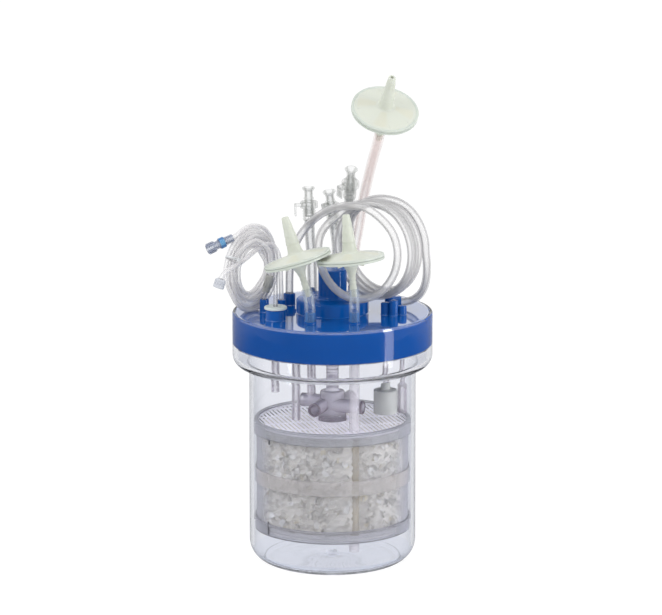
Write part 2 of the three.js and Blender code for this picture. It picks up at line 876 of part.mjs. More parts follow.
function couplingHose({ from, way, end, axis }) {
  const foot = [from.x, from.y, deckTop + 1.5 + clearance];
  const clearOfNozzle = [from.x, from.y, deckTop + from.height];
  const straight = [-2, -1, 0].map((i) => onAxis(end, axis, i * hoseBarbLength));
  return hose([foot, clearOfNozzle, ...way, ...straight], couplingTube, couplingTubeBore, 8, 8);
}

function addCoupling(number, coupling) {
  const turn = THREE.MathUtils.degToRad(coupling.latchTurn);
  const pieces = { body: couplingBody(), latch: couplingLatch(), plug: couplingPlug() };
  for (const [name, geometry] of Object.entries(pieces)) {
    stood(geometry.rotateZ(turn), coupling.end, coupling.axis);
    addPiece(`coupling_${number}_${name}`, geometry, clear, 0.15);
  }
  addPiece(`coupling_${number}_tube`, couplingHose(coupling), tubing, 0.25);
}

// ---------------------------------------------------------------- coils of line
function facing(degrees) {
  const turn = THREE.MathUtils.degToRad(degrees);
  return [Math.cos(turn), Math.sin(turn), 0];
}

// The room that the turns of the fine coil fill
const fineHalfDepth = (fineCoilDeep * finePitch) / 2;
const fineHalfWidth = (fineCoilAcross * finePitch) / 2;
const fineCoilCentre = [...fineCoilPlace, deckTop + clearance + fineCoilRadius + fineHalfDepth];

function fineCoil() {
  const outer = fineCoilRadius + fineHalfDepth;
  const inner = fineCoilRadius - fineHalfDepth;
  const ring = pipe(outer, inner, -fineHalfWidth, fineHalfWidth, coilSides);
  return stood(ring, fineCoilCentre, facing(fineCoilFacing));
}

// The room that the turns of the large coil fill; it leans on the edge of the drum
const lineHalfWidth = (lineCoilTurns * linePitch) / 2;
const lineCoilCentre = [...lineCoilPlace, drumTop + clearance + lineCoilRadius + linePitch / 2];

function lineCoil() {
  const outer = lineCoilRadius + linePitch / 2;
  const ring = pipe(outer, outer - linePitch, -lineHalfWidth, lineHalfWidth, coilSides);
  return stood(ring, lineCoilCentre, facing(lineCoilFacing));
}

// Routes of the free lengths, from the socket outwards, heights above the deck
const fineLeadRoute = [
  [-61.1, -2, 36.2], [-61, -1.9, 49.8], [-63, -2.9, 61.8], [-69.7, -5.5, 70.3], [-77.5, -9.7, 73.3],
  [-82.7, -15.9, 71.3], [-86.2, -20.8, 67.8],
].map(aboveDeck);
const fineTailRoute = [
  [-81, 0, 86.1], [-86.8, -8.3, 85], [-92.5, -15.6, 81.8], [-98.2, -20.1, 78.5], [-103.5, -21.8, 76.3],
].map(aboveDeck);
const branchRoute = [
  [-51, 12, 1], [-51, 12, 16], [-51.5, 12.5, 36], [-53, 13.5, 53], [-57.5, 13.8, 66], [-64, 8.5, 69],
  [-74, -4.5, 64.5], [-86.5, -21.6, 57], [-96.5, -37, 53], [-103.2, -43.6, 50.4], [-107.9, -45.7, 46.4],
  [-111.5, -46, 36],
].map(aboveDeck);
const lineLeadRoute = [
  [-43, 31, 1], [-43, 31, 18], [-42.5, 31, 36], [-40, 31, 53], [-33, 30.5, 69], [-23, 26, 83],
  [-11, 12, 96], [4, -8, 106.5], [18, -22.5, 111], [33, -30, 110], [48, -34, 100], [60, -36, 84],
  [64, -36.5, 64], [60, -35.5, 44], [48, -33, 27], [34, -29.5, 19.5], [22, -27.5, 18.4],
  [8, -24.5, 23.5], [-3, -21.5, 34], [-10.5, -18.5, 48], [-13.8, -14.5, 63], [-12.5, -6, 75],
  [-8, 3.5, 84], [-1.5, 11, 90], [7.2, 13.3, 94.7], [17.3, 5.4, 103.8],
].map(aboveDeck);
const lineTailRoute = [
  [91.6, -12.6, 64], [92.8, -10.5, 49], [91, -4.5, 31], [85.5, 3.5, 16.5], [78.5, 10.5, 8.2],
  [71, 14, 6], [60.5, 14, 6],
].map(aboveDeck);

// Screw fitting on the end of the fine line
const luerAxis = [-25, -8, -10.4];
const luerStart = fineTailRoute.at(-1);

function luerFitting() {
  const socket = fineTube + clearance;
  const body = turned([
    [socket, -6],
    [socket + 0.9, -6],
    [socket + 0.9, 0],
    [4.4, 1.5],
    [4.4, 4],
    [5.3, 4],
    [5.3, 9],
    [4.4, 9],
    [4.4, 17],
    [3.4, 18],
    [3.4, 23],
    [1.2, 23],
    [1.2, clearance],
    [socket, clearance],
    [socket, -6],
  ], 12);
  return stood(body, luerStart, luerAxis);
}

function branchCap() {
  const outwards = branchRoute.at(-1).map((value, i) => value - branchRoute.at(-2)[i]);
  const socket = fineTube + clearance;
  const cap = turned([
    [socket, -6],
    [socket + 1, -6],
    [socket + 1, 0],
    [5.2, 1],
    [5.2, 7],
    [4.4, 8],
    [0, 8],
    [0, clearance],
    [socket, clearance],
    [socket, -6],
  ], 10);
  return stood(cap, branchRoute.at(-1), outwards);
}

// Band round the fine coil
function coilTie() {
  const play = 0.9;
  const wall = 1.2;
  const deep = fineHalfDepth + play;
  const wide = fineHalfWidth + play;
  const box = (x, y) => [[-x, -y], [x, -y], [x, y], [-x, y]].map(([a, b]) => new THREE.Vector2(a, b));
  const shape = new THREE.Shape(box(deep + wall, wide + wall));
  shape.holes.push(new THREE.Path(box(deep, wide).reverse()));
  const band = new THREE.ExtrudeGeometry(shape, { depth: 9, bevelEnabled: false });
  band.translate(fineCoilRadius, 0, -4.5);
  // lies across the ring: local X is the ring's radius, local Y its axis
  band.rotateX(Math.PI / 2);
  band.rotateZ(THREE.MathUtils.degToRad(28));
  return stood(band, fineCoilCentre, facing(fineCoilFacing));
}

// ---------------------------------------------------------------- assembly
addPiece('vessel', vessel(), clear, 0.05);
addPiece('head_plate', headPlate(), deepBlue, 0.2);

addPiece('magnet_hub', magnetHub(), 0x3a3a3d, 0.4);
addPiece('shaft_bearing', shaftBearing(), 0xe6e4dc, 0.4);
addPiece('drive_shaft', driveShaft(), 0xb9bcc0, 0.25, 1);
addPiece('shaft_coupling', shaftCoupling(), smoke, 0.35);
addPiece('impeller', impeller(), smoke, 0.2);
addPiece(
  'draft_tube',
  pipe(draftTubeRadius, draftTubeRadius - draftTubeWall, draftTubeFoot, hubFoot - clearance, 24),
  smoke,
  0.25,
);

addPiece('basket_top_ring', topRing(), basketGrey, 0.5);
addPiece(
  'basket_middle_ring',
  pipe(basketWallRadius + clearance + midRingWall, basketWallRadius + clearance, midRingMiddle - midRingHeight / 2,
    midRingMiddle + midRingHeight / 2, roundSides),
  basketGrey,
  0.5,
);
addPiece('basket_bottom_ring', bottomRing(), basketGrey, 0.5);
addPiece('basket_wall', basketShell(), basketGrey, 0.4);
addPiece('basket_top_screen', topScreen(), basketGrey, 0.5);
addPiece('basket_bottom_screen', bottomScreen(), basketGrey, 0.5);
addPiece('fibre_bed', fibreBed(), 0xc9c7c1, 0.95);

for (const [name, tube] of Object.entries(dipTubes)) {
  if (name === 'probe_sleeve') addPiece(name, probeSleeve(), clear, 0.15);
  else addPiece(name, dipTube(tube), clear, 0.15);
}
addPiece('sample_filter', sampleFilter(), 0xb4b5b2, 0.7);

addPiece('port_cap', portCap(), 0xe9edf0, 0.4);
const stemFoot = deckTop + ports.cap.height - 5;
addPiece('stem_tube', sealedTube(ports.cap.x, ports.cap.y, stemFoot, deckTop + 48.5), milky, 0.4);
addPiece('riser_tube', riserTube(), tubing, 0.25);
addPiece('tapered_connector', taperedConnector(), 0x7d8284, 0.35);

for (const [name, filter] of Object.entries(filters)) {
  addPiece(`${name}_top`, stood(filterTop(), filter.centre, filter.axis), milky, 0.45);
  addPiece(`${name}_base`, stood(filterBase(), filter.centre, filter.axis), milky, 0.45);
  const steps = filter.way.length > 0 ? 11 : 3;
  addPiece(`${name}_tube`, filterHose(filter, filterTube, filterTubeBore, steps), tubing, 0.25);
}

couplings.forEach((coupling, i) => addCoupling(i + 1, coupling));

addPiece('fine_coil', fineCoil(), tubing, 0.3);
addPiece('fine_coil_tie', coilTie(), 0xc8bfb0, 0.5);
addPiece('fine_coil_lead', hose(fineLeadRoute, fineTube, 0, 8, 8), tubing, 0.3);
addPiece('fine_coil_tail', hose(fineTailRoute, fineTube, 0, 6, 8), tubing, 0.3);
addPiece('luer_fitting', luerFitting(), 0xb9c6d6, 0.2);
addPiece('branch_line', hose(branchRoute, fineTube, 0, 16, 8), tubing, 0.3);
addPiece('branch_cap', branchCap(), 0xd5d8da, 0.4);
addPiece('line_coil', lineCoil(), tubing, 0.3);
addPiece('line_coil_lead', hose(lineLeadRoute, lineTube, 0, 38, 8), tubing, 0.3);
addPiece('line_coil_tail', hose(lineTailRoute, lineTube, 0, 10, 8), tubing, 0.3);

export default part;
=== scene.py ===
import math
from itertools import accumulate

import bmesh
import bpy
import numpy as np
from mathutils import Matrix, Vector


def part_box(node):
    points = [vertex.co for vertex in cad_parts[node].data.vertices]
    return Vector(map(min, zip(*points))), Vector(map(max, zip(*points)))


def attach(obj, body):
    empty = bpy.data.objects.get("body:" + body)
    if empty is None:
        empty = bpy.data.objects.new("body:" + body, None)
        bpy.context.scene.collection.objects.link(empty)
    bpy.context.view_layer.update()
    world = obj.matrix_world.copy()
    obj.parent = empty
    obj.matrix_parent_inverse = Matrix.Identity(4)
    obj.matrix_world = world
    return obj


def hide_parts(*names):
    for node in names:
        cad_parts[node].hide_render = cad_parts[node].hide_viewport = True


bl_info = {
    "name": "Bench Bioreactor",
    "version": (1, 0, 0),
    "blender": (4, 5, 0),
    "location": "3D View > Sidebar > Bioreactor",
    "description": "Builds the visible pieces of a bench bioreactor round its CAD frame",
    "category": "Add Mesh",
}

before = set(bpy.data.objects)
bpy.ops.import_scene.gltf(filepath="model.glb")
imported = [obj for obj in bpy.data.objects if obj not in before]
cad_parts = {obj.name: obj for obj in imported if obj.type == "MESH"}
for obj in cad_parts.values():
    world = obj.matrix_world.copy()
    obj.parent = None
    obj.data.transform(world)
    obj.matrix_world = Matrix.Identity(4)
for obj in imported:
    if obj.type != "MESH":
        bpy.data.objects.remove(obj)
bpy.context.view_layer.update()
MM = 0.001

# Heights and places on the deck are in millimetres
DECK = 254.0
PORTS = {  # x, y, radius, height, bore
    "cap": (-56, -38, 10.0, 10.5, 5.5),
    "riser": (-67.7, -2, 4.6, 12.5, 2.9),
    "bleed": (-51, 12, 4.4, 9.0, 2.9),
    "line": (-43, 31, 5.9, 11.5, 4.5),
    "line_return": (58, 14, 5.9, 11.5, 0.0),
    "sensor_a": (52.5, -15, 4.6, 12.0, 0.0),
    "sensor_b": (60.6, -19, 4.4, 15.0, 0.0),
    "sensor_c": (69, -15, 4.4, 9.0, 0.0),
}
NOZZLES = {  # x, y, radius
    "left_filter": (-22, -55, 3.6),
    "right_filter": (21.5, -55, 3.6),
    "first_coupling": (-20, 45, 2.9),
    "second_coupling": (2, 58, 2.9),
    "third_coupling": (22, 52, 2.9),
    "vent": (20, 76, 3.6),
}
NOZZLE_HEIGHT = 14
CAP_PLACE = PORTS["cap"][:2]
HARVEST_PLACE = NOZZLES["right_filter"][:2]
DIP_TOP = 244.7  # where the dip tubes end in the plate's bosses
BAND_SIDES = 144

# ---- surfaces
def smooth_path(points, spacing=1.5):
    """Centripetal Catmull-Rom line through points, then points at equal steps of arc length.

    Between points p1 and p2 the blend is the usual pyramid of straight blends whose knots are
    spaced by the square root of the distance between neighbours.
    """
    p = np.asarray(points, float)
    p = np.vstack([2 * p[0] - p[1], p, 2 * p[-1] - p[-2]])
    gap = np.sqrt(np.linalg.norm(np.diff(p, axis=0), axis=1))
    knot = np.concatenate([[0], np.cumsum(gap)])
    u = np.linspace(0, 1, 24, endpoint=False)[None, :, None]
    k = [knot[i : len(p) - 3 + i, None, None] for i in range(4)]
    q = [p[i : len(p) - 3 + i, None, :] for i in range(4)]
    t = k[1] + (k[2] - k[1]) * u

    def between(a, b, ta, tb):
        return a * (tb - t) / (tb - ta) + b * (t - ta) / (tb - ta)

    first = between(q[0], q[1], k[0], k[1])
    second = between(q[1], q[2], k[1], k[2])
    third = between(q[2], q[3], k[2], k[3])
    lower = between(first, second, k[0], k[2])
    upper = between(second, third, k[1], k[3])
    line = np.vstack([between(lower, upper, k[1], k[2]).reshape(-1, 3), p[-2]])
    return evenly(line, spacing)


def evenly(line, spacing):
    """The same line with points at equal steps along it."""
    step = np.linalg.norm(np.diff(line, axis=0), axis=1)
    along = np.concatenate([[0], np.cumsum(step)])
    count = max(int(round(along[-1] / spacing)), 4) + 1
    at = np.linspace(0, along[-1], count)
    return np.stack([np.interp(at, along, line[:, i]) for i in range(3)], axis=1)


def side_vectors(line):
    """Two unit vectors across the line at each point, carried along it without twist."""
    tangent = np.gradient(line, axis=0)
    tangent /= np.linalg.norm(tangent, axis=1)[:, None]
    first = np.cross(tangent[0], [0.31, 0.17, 0.93])
    if np.linalg.norm(first) < 0.2:
        first = np.cross(tangent[0], [1, 0, 0])

    def carried(side, now):
        side = side - now * np.dot(side, now)
        return side / np.linalg.norm(side)

    across = np.array(list(accumulate(tangent[1:], carried, initial=first / np.linalg.norm(first))))
    return across, np.cross(tangent, across)


def grid_faces(rows, columns, close_rows=False, close_columns=True, start=0):
    """Quads of a grid of points, row by row, wrapping round where asked."""
    r = np.arange(rows if close_rows else rows - 1)
    c = np.arange(columns if close_columns else columns - 1)
    r, c = np.meshgrid(r, c, indexing="ij")
    r2, c2 = (r + 1) % rows, (c + 1) % columns
    quads = np.stack([r * columns + c, r * columns + c2, r2 * columns + c2, r2 * columns + c], axis=-1)
    return (quads.reshape(-1, 4) + start).tolist()


def revolve(profile, sides=96):
    """Surface (r cos a, r sin a, z) for each (r, z) of the profile and each angle a.

    A profile whose first and last points agree is closed; any other meets the axis at both ends.
    """
    profile = np.asarray(profile, float)
    closed = np.allclose(profile[0], profile[-1])
    if closed:
        profile = profile[:-1]
    angle = np.radians(np.linspace(0, 360, sides, endpoint=False))
    r, z = profile[:, :1], profile[:, 1:]
    grid = np.stack([r * np.cos(angle), r * np.sin(angle), z + 0 * angle], axis=-1)
    return grid.reshape(-1, 3), grid_faces(len(profile), sides, close_rows=closed)


def rounded(profile, radius=0.5, steps=3):
    """The profile with each corner replaced by a parabola that leaves its two sides smoothly.

    At corner c with neighbours a and b cut at distance d, the points are
    (1-t)^2 (c+d toward a) + 2t(1-t) c + t^2 (c+d toward b).
    """
    p = np.asarray(profile, float)
    closed = np.allclose(p[0], p[-1])
    ring = p[:-1] if closed else p
    a, c, b = np.roll(ring, 1, axis=0), ring, np.roll(ring, -1, axis=0)
    la = np.linalg.norm(a - c, axis=1)[:, None]
    lb = np.linalg.norm(b - c, axis=1)[:, None]
    cut = np.minimum(radius, 0.42 * np.minimum(la, lb))
    start, end = c + (a - c) * cut / np.maximum(la, 1e-9), c + (b - c) * cut / np.maximum(lb, 1e-9)
    t = np.linspace(0, 1, steps + 1)[None, :, None]
    curve = (1 - t) ** 2 * start[:, None] + 2 * t * (1 - t) * c[:, None] + t**2 * end[:, None]
    if closed:
        out = curve.reshape(-1, 2)
        return np.vstack([out, out[:1]])
    return np.vstack([p[:1], curve[1:-1].reshape(-1, 2), p[-1:]])


def ring_of(outer, inner, low, high, edge=0.4, sides=96):
    """A pipe between two heights with softened edges."""
    profile = [(inner, low), (outer, low), (outer, high), (inner, high), (inner, low)]
    return revolve(rounded(profile, edge), sides)


def rod_of(radius, low, high, edge=0.4, sides=48):
    """A solid rod between two heights with softened edges."""
    return revolve(rounded([(0, low), (radius, low), (radius, high), (0, high)], edge), sides)


def sweep(line, radius, sides=16, bore=0.0):
    """Circle of the given radius carried along a line: line + r (cos a, sin a) in its side vectors.

    With a bore, a second circle runs inside the first and the ends are joined as rings.
    """
    across, up = side_vectors(line)
    angle = np.linspace(0, 2 * math.pi, sides, endpoint=False)
    circle = across[:, None] * np.cos(angle)[None, :, None] + up[:, None] * np.sin(angle)[None, :, None]
    outer = line[:, None] + radius * circle
    if bore > 0:
        grid = np.concatenate([outer, (line[:, None] + bore * circle)[::-1]])
        return grid.reshape(-1, 3), grid_faces(len(grid), sides, close_rows=True)
    points = np.vstack([outer.reshape(-1, 3), line[0], line[-1]])
    first_end, last_row = len(line) * sides, (len(line) - 1) * sides
    turn = np.arange(sides)
    after = (turn + 1) % sides
    first = np.stack([turn * 0 + first_end, after, turn], axis=-1)
    last = np.stack([turn * 0 + first_end + 1, last_row + turn, last_row + after], axis=-1)
    return points, grid_faces(len(line), sides) + first.tolist() + last.tolist()


def slab(size, centre, edge=0.5):
    """A box with rounded upright edges and softened top and bottom.

    Its outline is (sign cos t (a - edge) + edge cos t, sign sin t (b - edge) + edge sin t), and
    each row is that outline drawn in by a share, from the middle of the bottom to that of the top.
    """
    a, b, c = (s / 2 for s in size)
    turn = np.radians(np.arange(0, 360, 9))
    corner = np.stack([np.sign(np.cos(turn)) * (a - edge), np.sign(np.sin(turn)) * (b - edge)], axis=-1)
    outline = corner + edge * np.stack([np.cos(turn), np.sin(turn)], axis=-1)
    inset = (np.array([a, b]) - 0.25 * edge) / np.array([a, b])
    bend = c - edge * 0.4
    rows = [(0.0, -c), (inset, -c), (1.0, -bend), (1.0, bend), (inset, c), (0.0, c)]
    grid = [np.column_stack([outline * share, np.full(len(turn), z)]) for share, z in rows]
    return np.concatenate(grid) + np.array(centre), grid_faces(len(rows), len(turn))


def shift(shape, x, y, z=0.0):
    return shape[0] + np.array([x, y, z], float), shape[1]


def turn_z(shape, degrees):
    a = math.radians(degrees)
    spin = np.array([[math.cos(a), -math.sin(a), 0], [math.sin(a), math.cos(a), 0], [0, 0, 1]])
    return shape[0] @ spin.T, shape[1]


def stand(shape, place, direction):
    """The shape with its axis along a direction and its origin at a place."""
    turn = Vector((0, 0, 1)).rotation_difference(Vector(direction)).to_matrix()
    return shape[0] @ np.array(turn).T + np.array(place, float), shape[1]


def joined(shapes):
    """Several shapes as one."""
    points, faces, start = [], [], 0
    for verts, quads in shapes:
        points.append(verts)
        faces += [[i + start for i in face] for face in quads]
        start += len(verts)
    return np.concatenate(points), faces


def along(start, direction, distance):
    """The point a distance from the start in a direction."""
    d = np.array(direction, float)
    return np.array(start, float) + d / np.linalg.norm(d) * distance


def piece(name, shape, finish, stands_for=(), body="reactor", sharp=32, values=None):
    """Puts a shape in millimetres into a mesh in metres that rides on a body.

    The values are numbers for each point, kept by name for the finish to read.
    """
    mesh = bpy.data.meshes.new(name)
    mesh.from_pydata((shape[0] * MM).tolist(), [], shape[1])
    for key, numbers in (values or {}).items():
        mesh.attributes.new(key, "FLOAT", "POINT").data.foreach_set("value", numbers.astype(np.float32))
    close_up(mesh, 2e-6, 1e-7)
    mesh.polygons.foreach_set("use_smooth", [True] * len(mesh.polygons))
    mesh.set_sharp_from_angle(angle=math.radians(sharp))
    mesh.materials.append(finish)
    thing = put(name, mesh)
    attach(thing, body)
    if stands_for:
        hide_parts(*([stands_for] if isinstance(stands_for, str) else stands_for))
    return thing


def close_up(mesh, doubles, thinnest=None):
    """Merges a mesh's doubles, drops faces without area where asked, and turns its faces outwards."""
    work = bmesh.new()
    work.from_mesh(mesh)
    bmesh.ops.remove_doubles(work, verts=work.verts, dist=doubles)
    if thinnest:
        bmesh.ops.dissolve_degenerate(work, edges=work.edges, dist=thinnest)
    bmesh.ops.recalc_face_normals(work, faces=work.faces)
    work.to_mesh(mesh)
    work.free()


def put(name, data):
    """An object with this data, in the scene."""
    thing = bpy.data.objects.new(name, data)
    bpy.context.scene.collection.objects.link(thing)
    return thing


# ---- finishes
def tone(red, green, blue):
    """A colour written in display values from 0 to 255, as Blender's linear colour."""
    part = np.array([red, green, blue]) / 255
    linear = np.where(part <= 0.04045, part / 12.92, ((part + 0.055) / 1.055) ** 2.4)
    return (*linear.tolist(), 1.0)


def grey(level):
    return (level, level, level, 1.0)


def scaled(colour, share):
    """A colour made darker or lighter, and still solid."""
    return (*(c * share for c in colour[:3]), 1)


class Signal:
    """A node's output. Arithmetic on it adds the Math nodes that work it out."""

    def __init__(self, finish, socket):
        self.finish = finish
        self.socket = socket

    def math(self, operation, *others, clamp=False):
        inputs = dict(enumerate((self, *others)))
        return self.finish.node("ShaderNodeMath", {"operation": operation, "use_clamp": clamp}, inputs)

    def __add__(self, other):
        return self.math("ADD", other)

    __radd__ = __add__

    def __mul__(self, other):
        return self.math("MULTIPLY", other)

    __rmul__ = __mul__

    def __sub__(self, other):
        return self.math("SUBTRACT", other)

    def __rsub__(self, other):
        return (self * -1) + other

    def __truediv__(self, other):
        return self.math("DIVIDE", other)

    def __pow__(self, other):
        return self.math("POWER", other)

    def __abs__(self):
        return self.math("ABSOLUTE")

    def above(self, limit):
        return self.math("GREATER_THAN", limit)

    def below(self, limit):
        return self.math("LESS_THAN", limit)

    def between(self, low, high):
        return self.above(low) * self.below(high)

    def clamped(self):
        return self.math("ADD", 0.0, clamp=True)

    def peak(self, place, slope):
        """1 at a place, falling to 0 at 1 / slope on both sides of it."""
        return 1 - (abs(self - place) * slope).clamped()


class Finish:
    """A node tree under construction, a new material's or the world's."""

    def __init__(self, owner, output="ShaderNodeOutputMaterial"):
        self.owner = bpy.data.materials.new(owner) if isinstance(owner, str) else owner
        self.owner.use_nodes = True
        self.tree = self.owner.node_tree
        self.tree.nodes.clear()
        self.output = self.tree.nodes.new(output)

    def node(self, kind, settings=None, inputs=None, out=0):
        """Adds a node with its settings first, then its sockets' values or links, and gives one output."""
        made = self.tree.nodes.new(kind)
        for key, value in (settings or {}).items():
            if key == "stops":
                self.fill_ramp(made.color_ramp, value)
            else:
                setattr(made, key, value)
        for key, value in (inputs or {}).items():
            if isinstance(value, Signal):
                self.tree.links.new(value.socket, made.inputs[key])
            else:
                made.inputs[key].default_value = value
        return Signal(self, made.outputs[out])

    def fill_ramp(self, ramp, stops):
        while len(ramp.elements) < len(stops):
            ramp.elements.new(0.5)
        for element, (place, colour) in zip(ramp.elements, stops):
            element.position = place
            element.color = colour

    def place(self):
        return self.node("ShaderNodeTexCoord", out="Object")

    def axes(self):
        first = self.node("ShaderNodeSeparateXYZ", None, {0: self.place()})
        return [Signal(self, socket) for socket in first.socket.node.outputs]

    def path_is(self, kind):
        """1 for rays of one kind, such as Camera or Glossy, and 0 for others."""
        return self.node("ShaderNodeLightPath", out=f"Is {kind} Ray")

    def seen(self):
        """1 for rays that come from the camera, straight or through clear plastic."""
        return self.path_is("Camera").math("MAXIMUM", self.path_is("Transmission"))

    def facing(self, blend=0.5):
        """How far the surface turns from the eye, from 0 to 1."""
        return self.node("ShaderNodeLayerWeight", None, {"Blend": blend}, out="Facing")

    def stored(self, name):
        """A number that the piece keeps for each point."""
        return self.node("ShaderNodeAttribute", {"attribute_name": name}, out="Fac")

    def noise(self, scale, detail=3.0, rough=0.5):
        inputs = {"Vector": self.place(), "Scale": scale, "Detail": detail, "Roughness": rough}
        return self.node("ShaderNodeTexNoise", None, inputs)

    def rings(self, height, scale):
        """Turning marks: noise that changes with height alone."""
        return self.node("ShaderNodeTexNoise", {"noise_dimensions": "1D"}, {"W": height, "Scale": scale})

    def ramp(self, signal, stops):
        return self.node("ShaderNodeValToRGB", {"stops": stops}, {0: signal})

    def blend(self, factor, first, second):
        return self.node("ShaderNodeMix", {"data_type": "RGBA"}, {0: factor, 6: first, 7: second}, out=2)

    def bump(self, height, distance, strength=0.5):
        return self.node("ShaderNodeBump", None, {"Height": height, "Distance": distance, "Strength": strength})

    def principled(self, **sockets):
        """The main shader, with its sockets' names in small letters and underscores."""
        names = {key.replace("_", " ").title().replace("Ior", "IOR"): v for key, v in sockets.items()}
        return self.node("ShaderNodeBsdfPrincipled", None, names)

    def mixed(self, factor, first, second):
        return self.node("ShaderNodeMixShader", None, {0: factor, 1: first, 2: second})

    def clear(self, colour=(1, 1, 1, 1)):
        return self.node("ShaderNodeBsdfTransparent", None, {0: colour})

    def shows(self, shader):
        self.tree.links.new(shader.socket, self.output.inputs["Surface"])
        return self.owner

    def shows_over(self, cover, behind, skin):
        """Shows a skin over clear plastic of the tint behind it, by its cover from 0 to 1."""
        return self.shows(self.mixed(cover, self.clear(behind), skin))


CLEAR_TINT = (0.985, 0.986, 0.988, 1)


def moulded(name, colour, rough, grain=0.03):
    """Moulded plastic: a very slight unevenness in colour and gloss."""
    f = Finish(name)
    patch = f.noise(60, 3)
    fine = f.noise(900, 2)
    shade = f.blend(patch * grain * 6, colour, scaled(colour, 0.9))
    gloss = fine * grain * 2 + (rough - grain)
    return f.shows(f.principled(base_color=shade, roughness=gloss, normal=f.bump(fine, 0.00004, 0.25)))


def clear_tube(name, core, line, least, most, rough=0.08, foot=None):
    """Clear tubing: bright in the middle, a grey line where the bore's side is seen, and a dark edge.

    The wall's share w follows how far the surface turns from the eye. The colour is
    core + w (line - core), and the cover is least + w (most - least). A foot is a height and the
    colour of what the tubing is pushed over, which fills its wall up to that height.
    """
    f = Finish(name)
    stops = [(0.06, grey(0.0)), (0.27, grey(0.85)), (0.36, grey(0.85)), (0.52, grey(0.3)), (0.9, grey(1.0))]
    wall = f.ramp(f.facing(), stops)
    haze = f.noise(160, 2)
    fine = f.noise(700, 2)
    shade = f.blend((wall + haze * 0.1).clamped(), core, line)
    cover = wall * (most - least) + haze * 0.08 + (least - 0.04)
    if foot:
        height, filled = foot
        x, y, z = f.axes()
        low = ((height - z) * 1200).clamped()
        shade = f.blend(low * 0.8, shade, filled)
        cover = cover + low * 0.34
    normal = f.bump(fine, 0.00004, 0.2)
    skin = f.principled(base_color=shade, roughness=fine * 0.05 + rough, normal=normal, ior=1.45)
    return f.shows_over(cover.clamped(), CLEAR_TINT, skin)


# ---- routes of the lines
def lifted(points):
    """Points given by their height above the deck."""
    return [(x, y, z + DECK) for x, y, z in points]


FINE_RADIUS = 2.4
LINE_RADIUS = 4.0
FINE_CENTRE = (-81, 0, 295.8)
FINE_FACING = -35.0
LINE_CENTRE = (46, 4, 317.9)
LINE_FACING = 50.0
CONNECTOR_FOOT = (-66.2, -2, 274.0)
CONNECTOR_AXIS = (0.3, 0, 0.954)
FINE_LEAD = lifted([
    (-61.1, -2, 36.2), (-61, -1.9, 49.8), (-63, -2.9, 61.8), (-69.7, -5.5, 70.3),
])
FINE_TAIL = lifted([
    (-81, 0, 86.1), (-86.8, -8.3, 85), (-92.5, -15.6, 81.8), (-98.2, -20.1, 78.5), (-103.5, -21.8, 76.3),
])
BRANCH = lifted([
    (-51, 12, 3), (-51, 12, 16), (-51.4, 12.6, 32), (-52.2, 13.4, 46), (-54.5, 13.3, 57), (-58.9, 11.2, 64),
    (-65.2, 5.9, 66.8), (-73.8, -4.0, 64.2), (-86.5, -21.9, 57), (-95.6, -34.2, 53), (-102.4, -40.6, 50.2),
    (-107.6, -43.9, 46.2), (-110.5, -45.7, 41), (-111.5, -46, 36),
])
LINE_LEAD = lifted([
    (-43, 31, 2), (-43, 31, 18), (-42.5, 31, 36), (-40, 31, 53), (-33, 30.5, 69), (-23, 26, 83),
    (-11, 12, 96), (4, -8, 106.5), (18, -22.5, 111), (33, -30, 110), (48, -34, 100), (60, -36, 84),
    (64, -36.5, 64), (60, -35.5, 44), (48, -33, 27), (34, -29.5, 19.5), (22, -27.5, 18.4),
    (8, -24.5, 23.5), (-3, -21.5, 34), (-10.5, -18.5, 48), (-13.8, -13.5, 63), (-13.1, -6.5, 73.5),
    (-9.8, 0.6, 81.2), (-4, 6.7, 87.4), (4, 9.3, 94), (11.6, 8.3, 100.2),
])
LINE_TAIL = lifted([
    (93.4, -10.5, 47), (92.6, -5.6, 32.5), (89.4, 0.4, 20.8), (84, 6.1, 13), (77.6, 10.6, 8.4), (70, 13.2, 6.3),
    (60.5, 14, 6),
])


def in_ring(centre, facing, turn, radius, offset):
    """Point of a coil: centre + radius (cos turn, sin turn) in its plane + offset along its axis."""
    a = math.radians(facing)
    axis = np.array([math.cos(a), math.sin(a), 0])
    level = np.array([math.sin(a), -math.cos(a), 0])
    t = np.radians(turn)
    flat = np.multiply.outer(np.cos(t) * radius, level)
    rise = np.multiply.outer(np.sin(t) * radius, np.array([0, 0, 1.0]))
    return np.array(centre) + flat + rise + np.multiply.outer(np.asarray(offset) + 0 * t, axis)


def eased(value):
    """0 below 0, 1 above 1, and half a cosine wave between."""
    return 0.5 - 0.5 * np.cos(np.clip(value, 0, 1) * math.pi)


LINE_START = 118
LINE_SWEEP = 1198


def line_coil_route():
    """The large line's turns, side by side, with the way in at the front and the way out behind.

    The turns run down from the start by the sweep, in degrees. Each steps aside by one pitch in
    its first 66 degrees, so the offset is pitch (turns begun - 2 + eased share), and the radius is
    the mean radius with a slow wave that differs from turn to turn.
    """
    pitch, stepping, mean_radius = 8.3, 66, 46.2
    turn = np.linspace(LINE_START, LINE_START - LINE_SWEEP, 150)
    gone = (LINE_START - turn) / 360
    begun = np.floor(gone)
    offset = pitch * (begun - 2 + eased((gone - begun) * 360 / stepping)) - 0.3 * (1 - eased(gone * 4))
    slack = eased(gone * 2) * eased((3.3 - gone) * 2)
    wave = 1.7 * np.sin(np.radians(turn * 0.72 + 60)) + 1.2 * np.cos(np.radians(turn * 0.31))
    return in_ring(LINE_CENTRE, LINE_FACING, turn, mean_radius + slack * wave, offset)


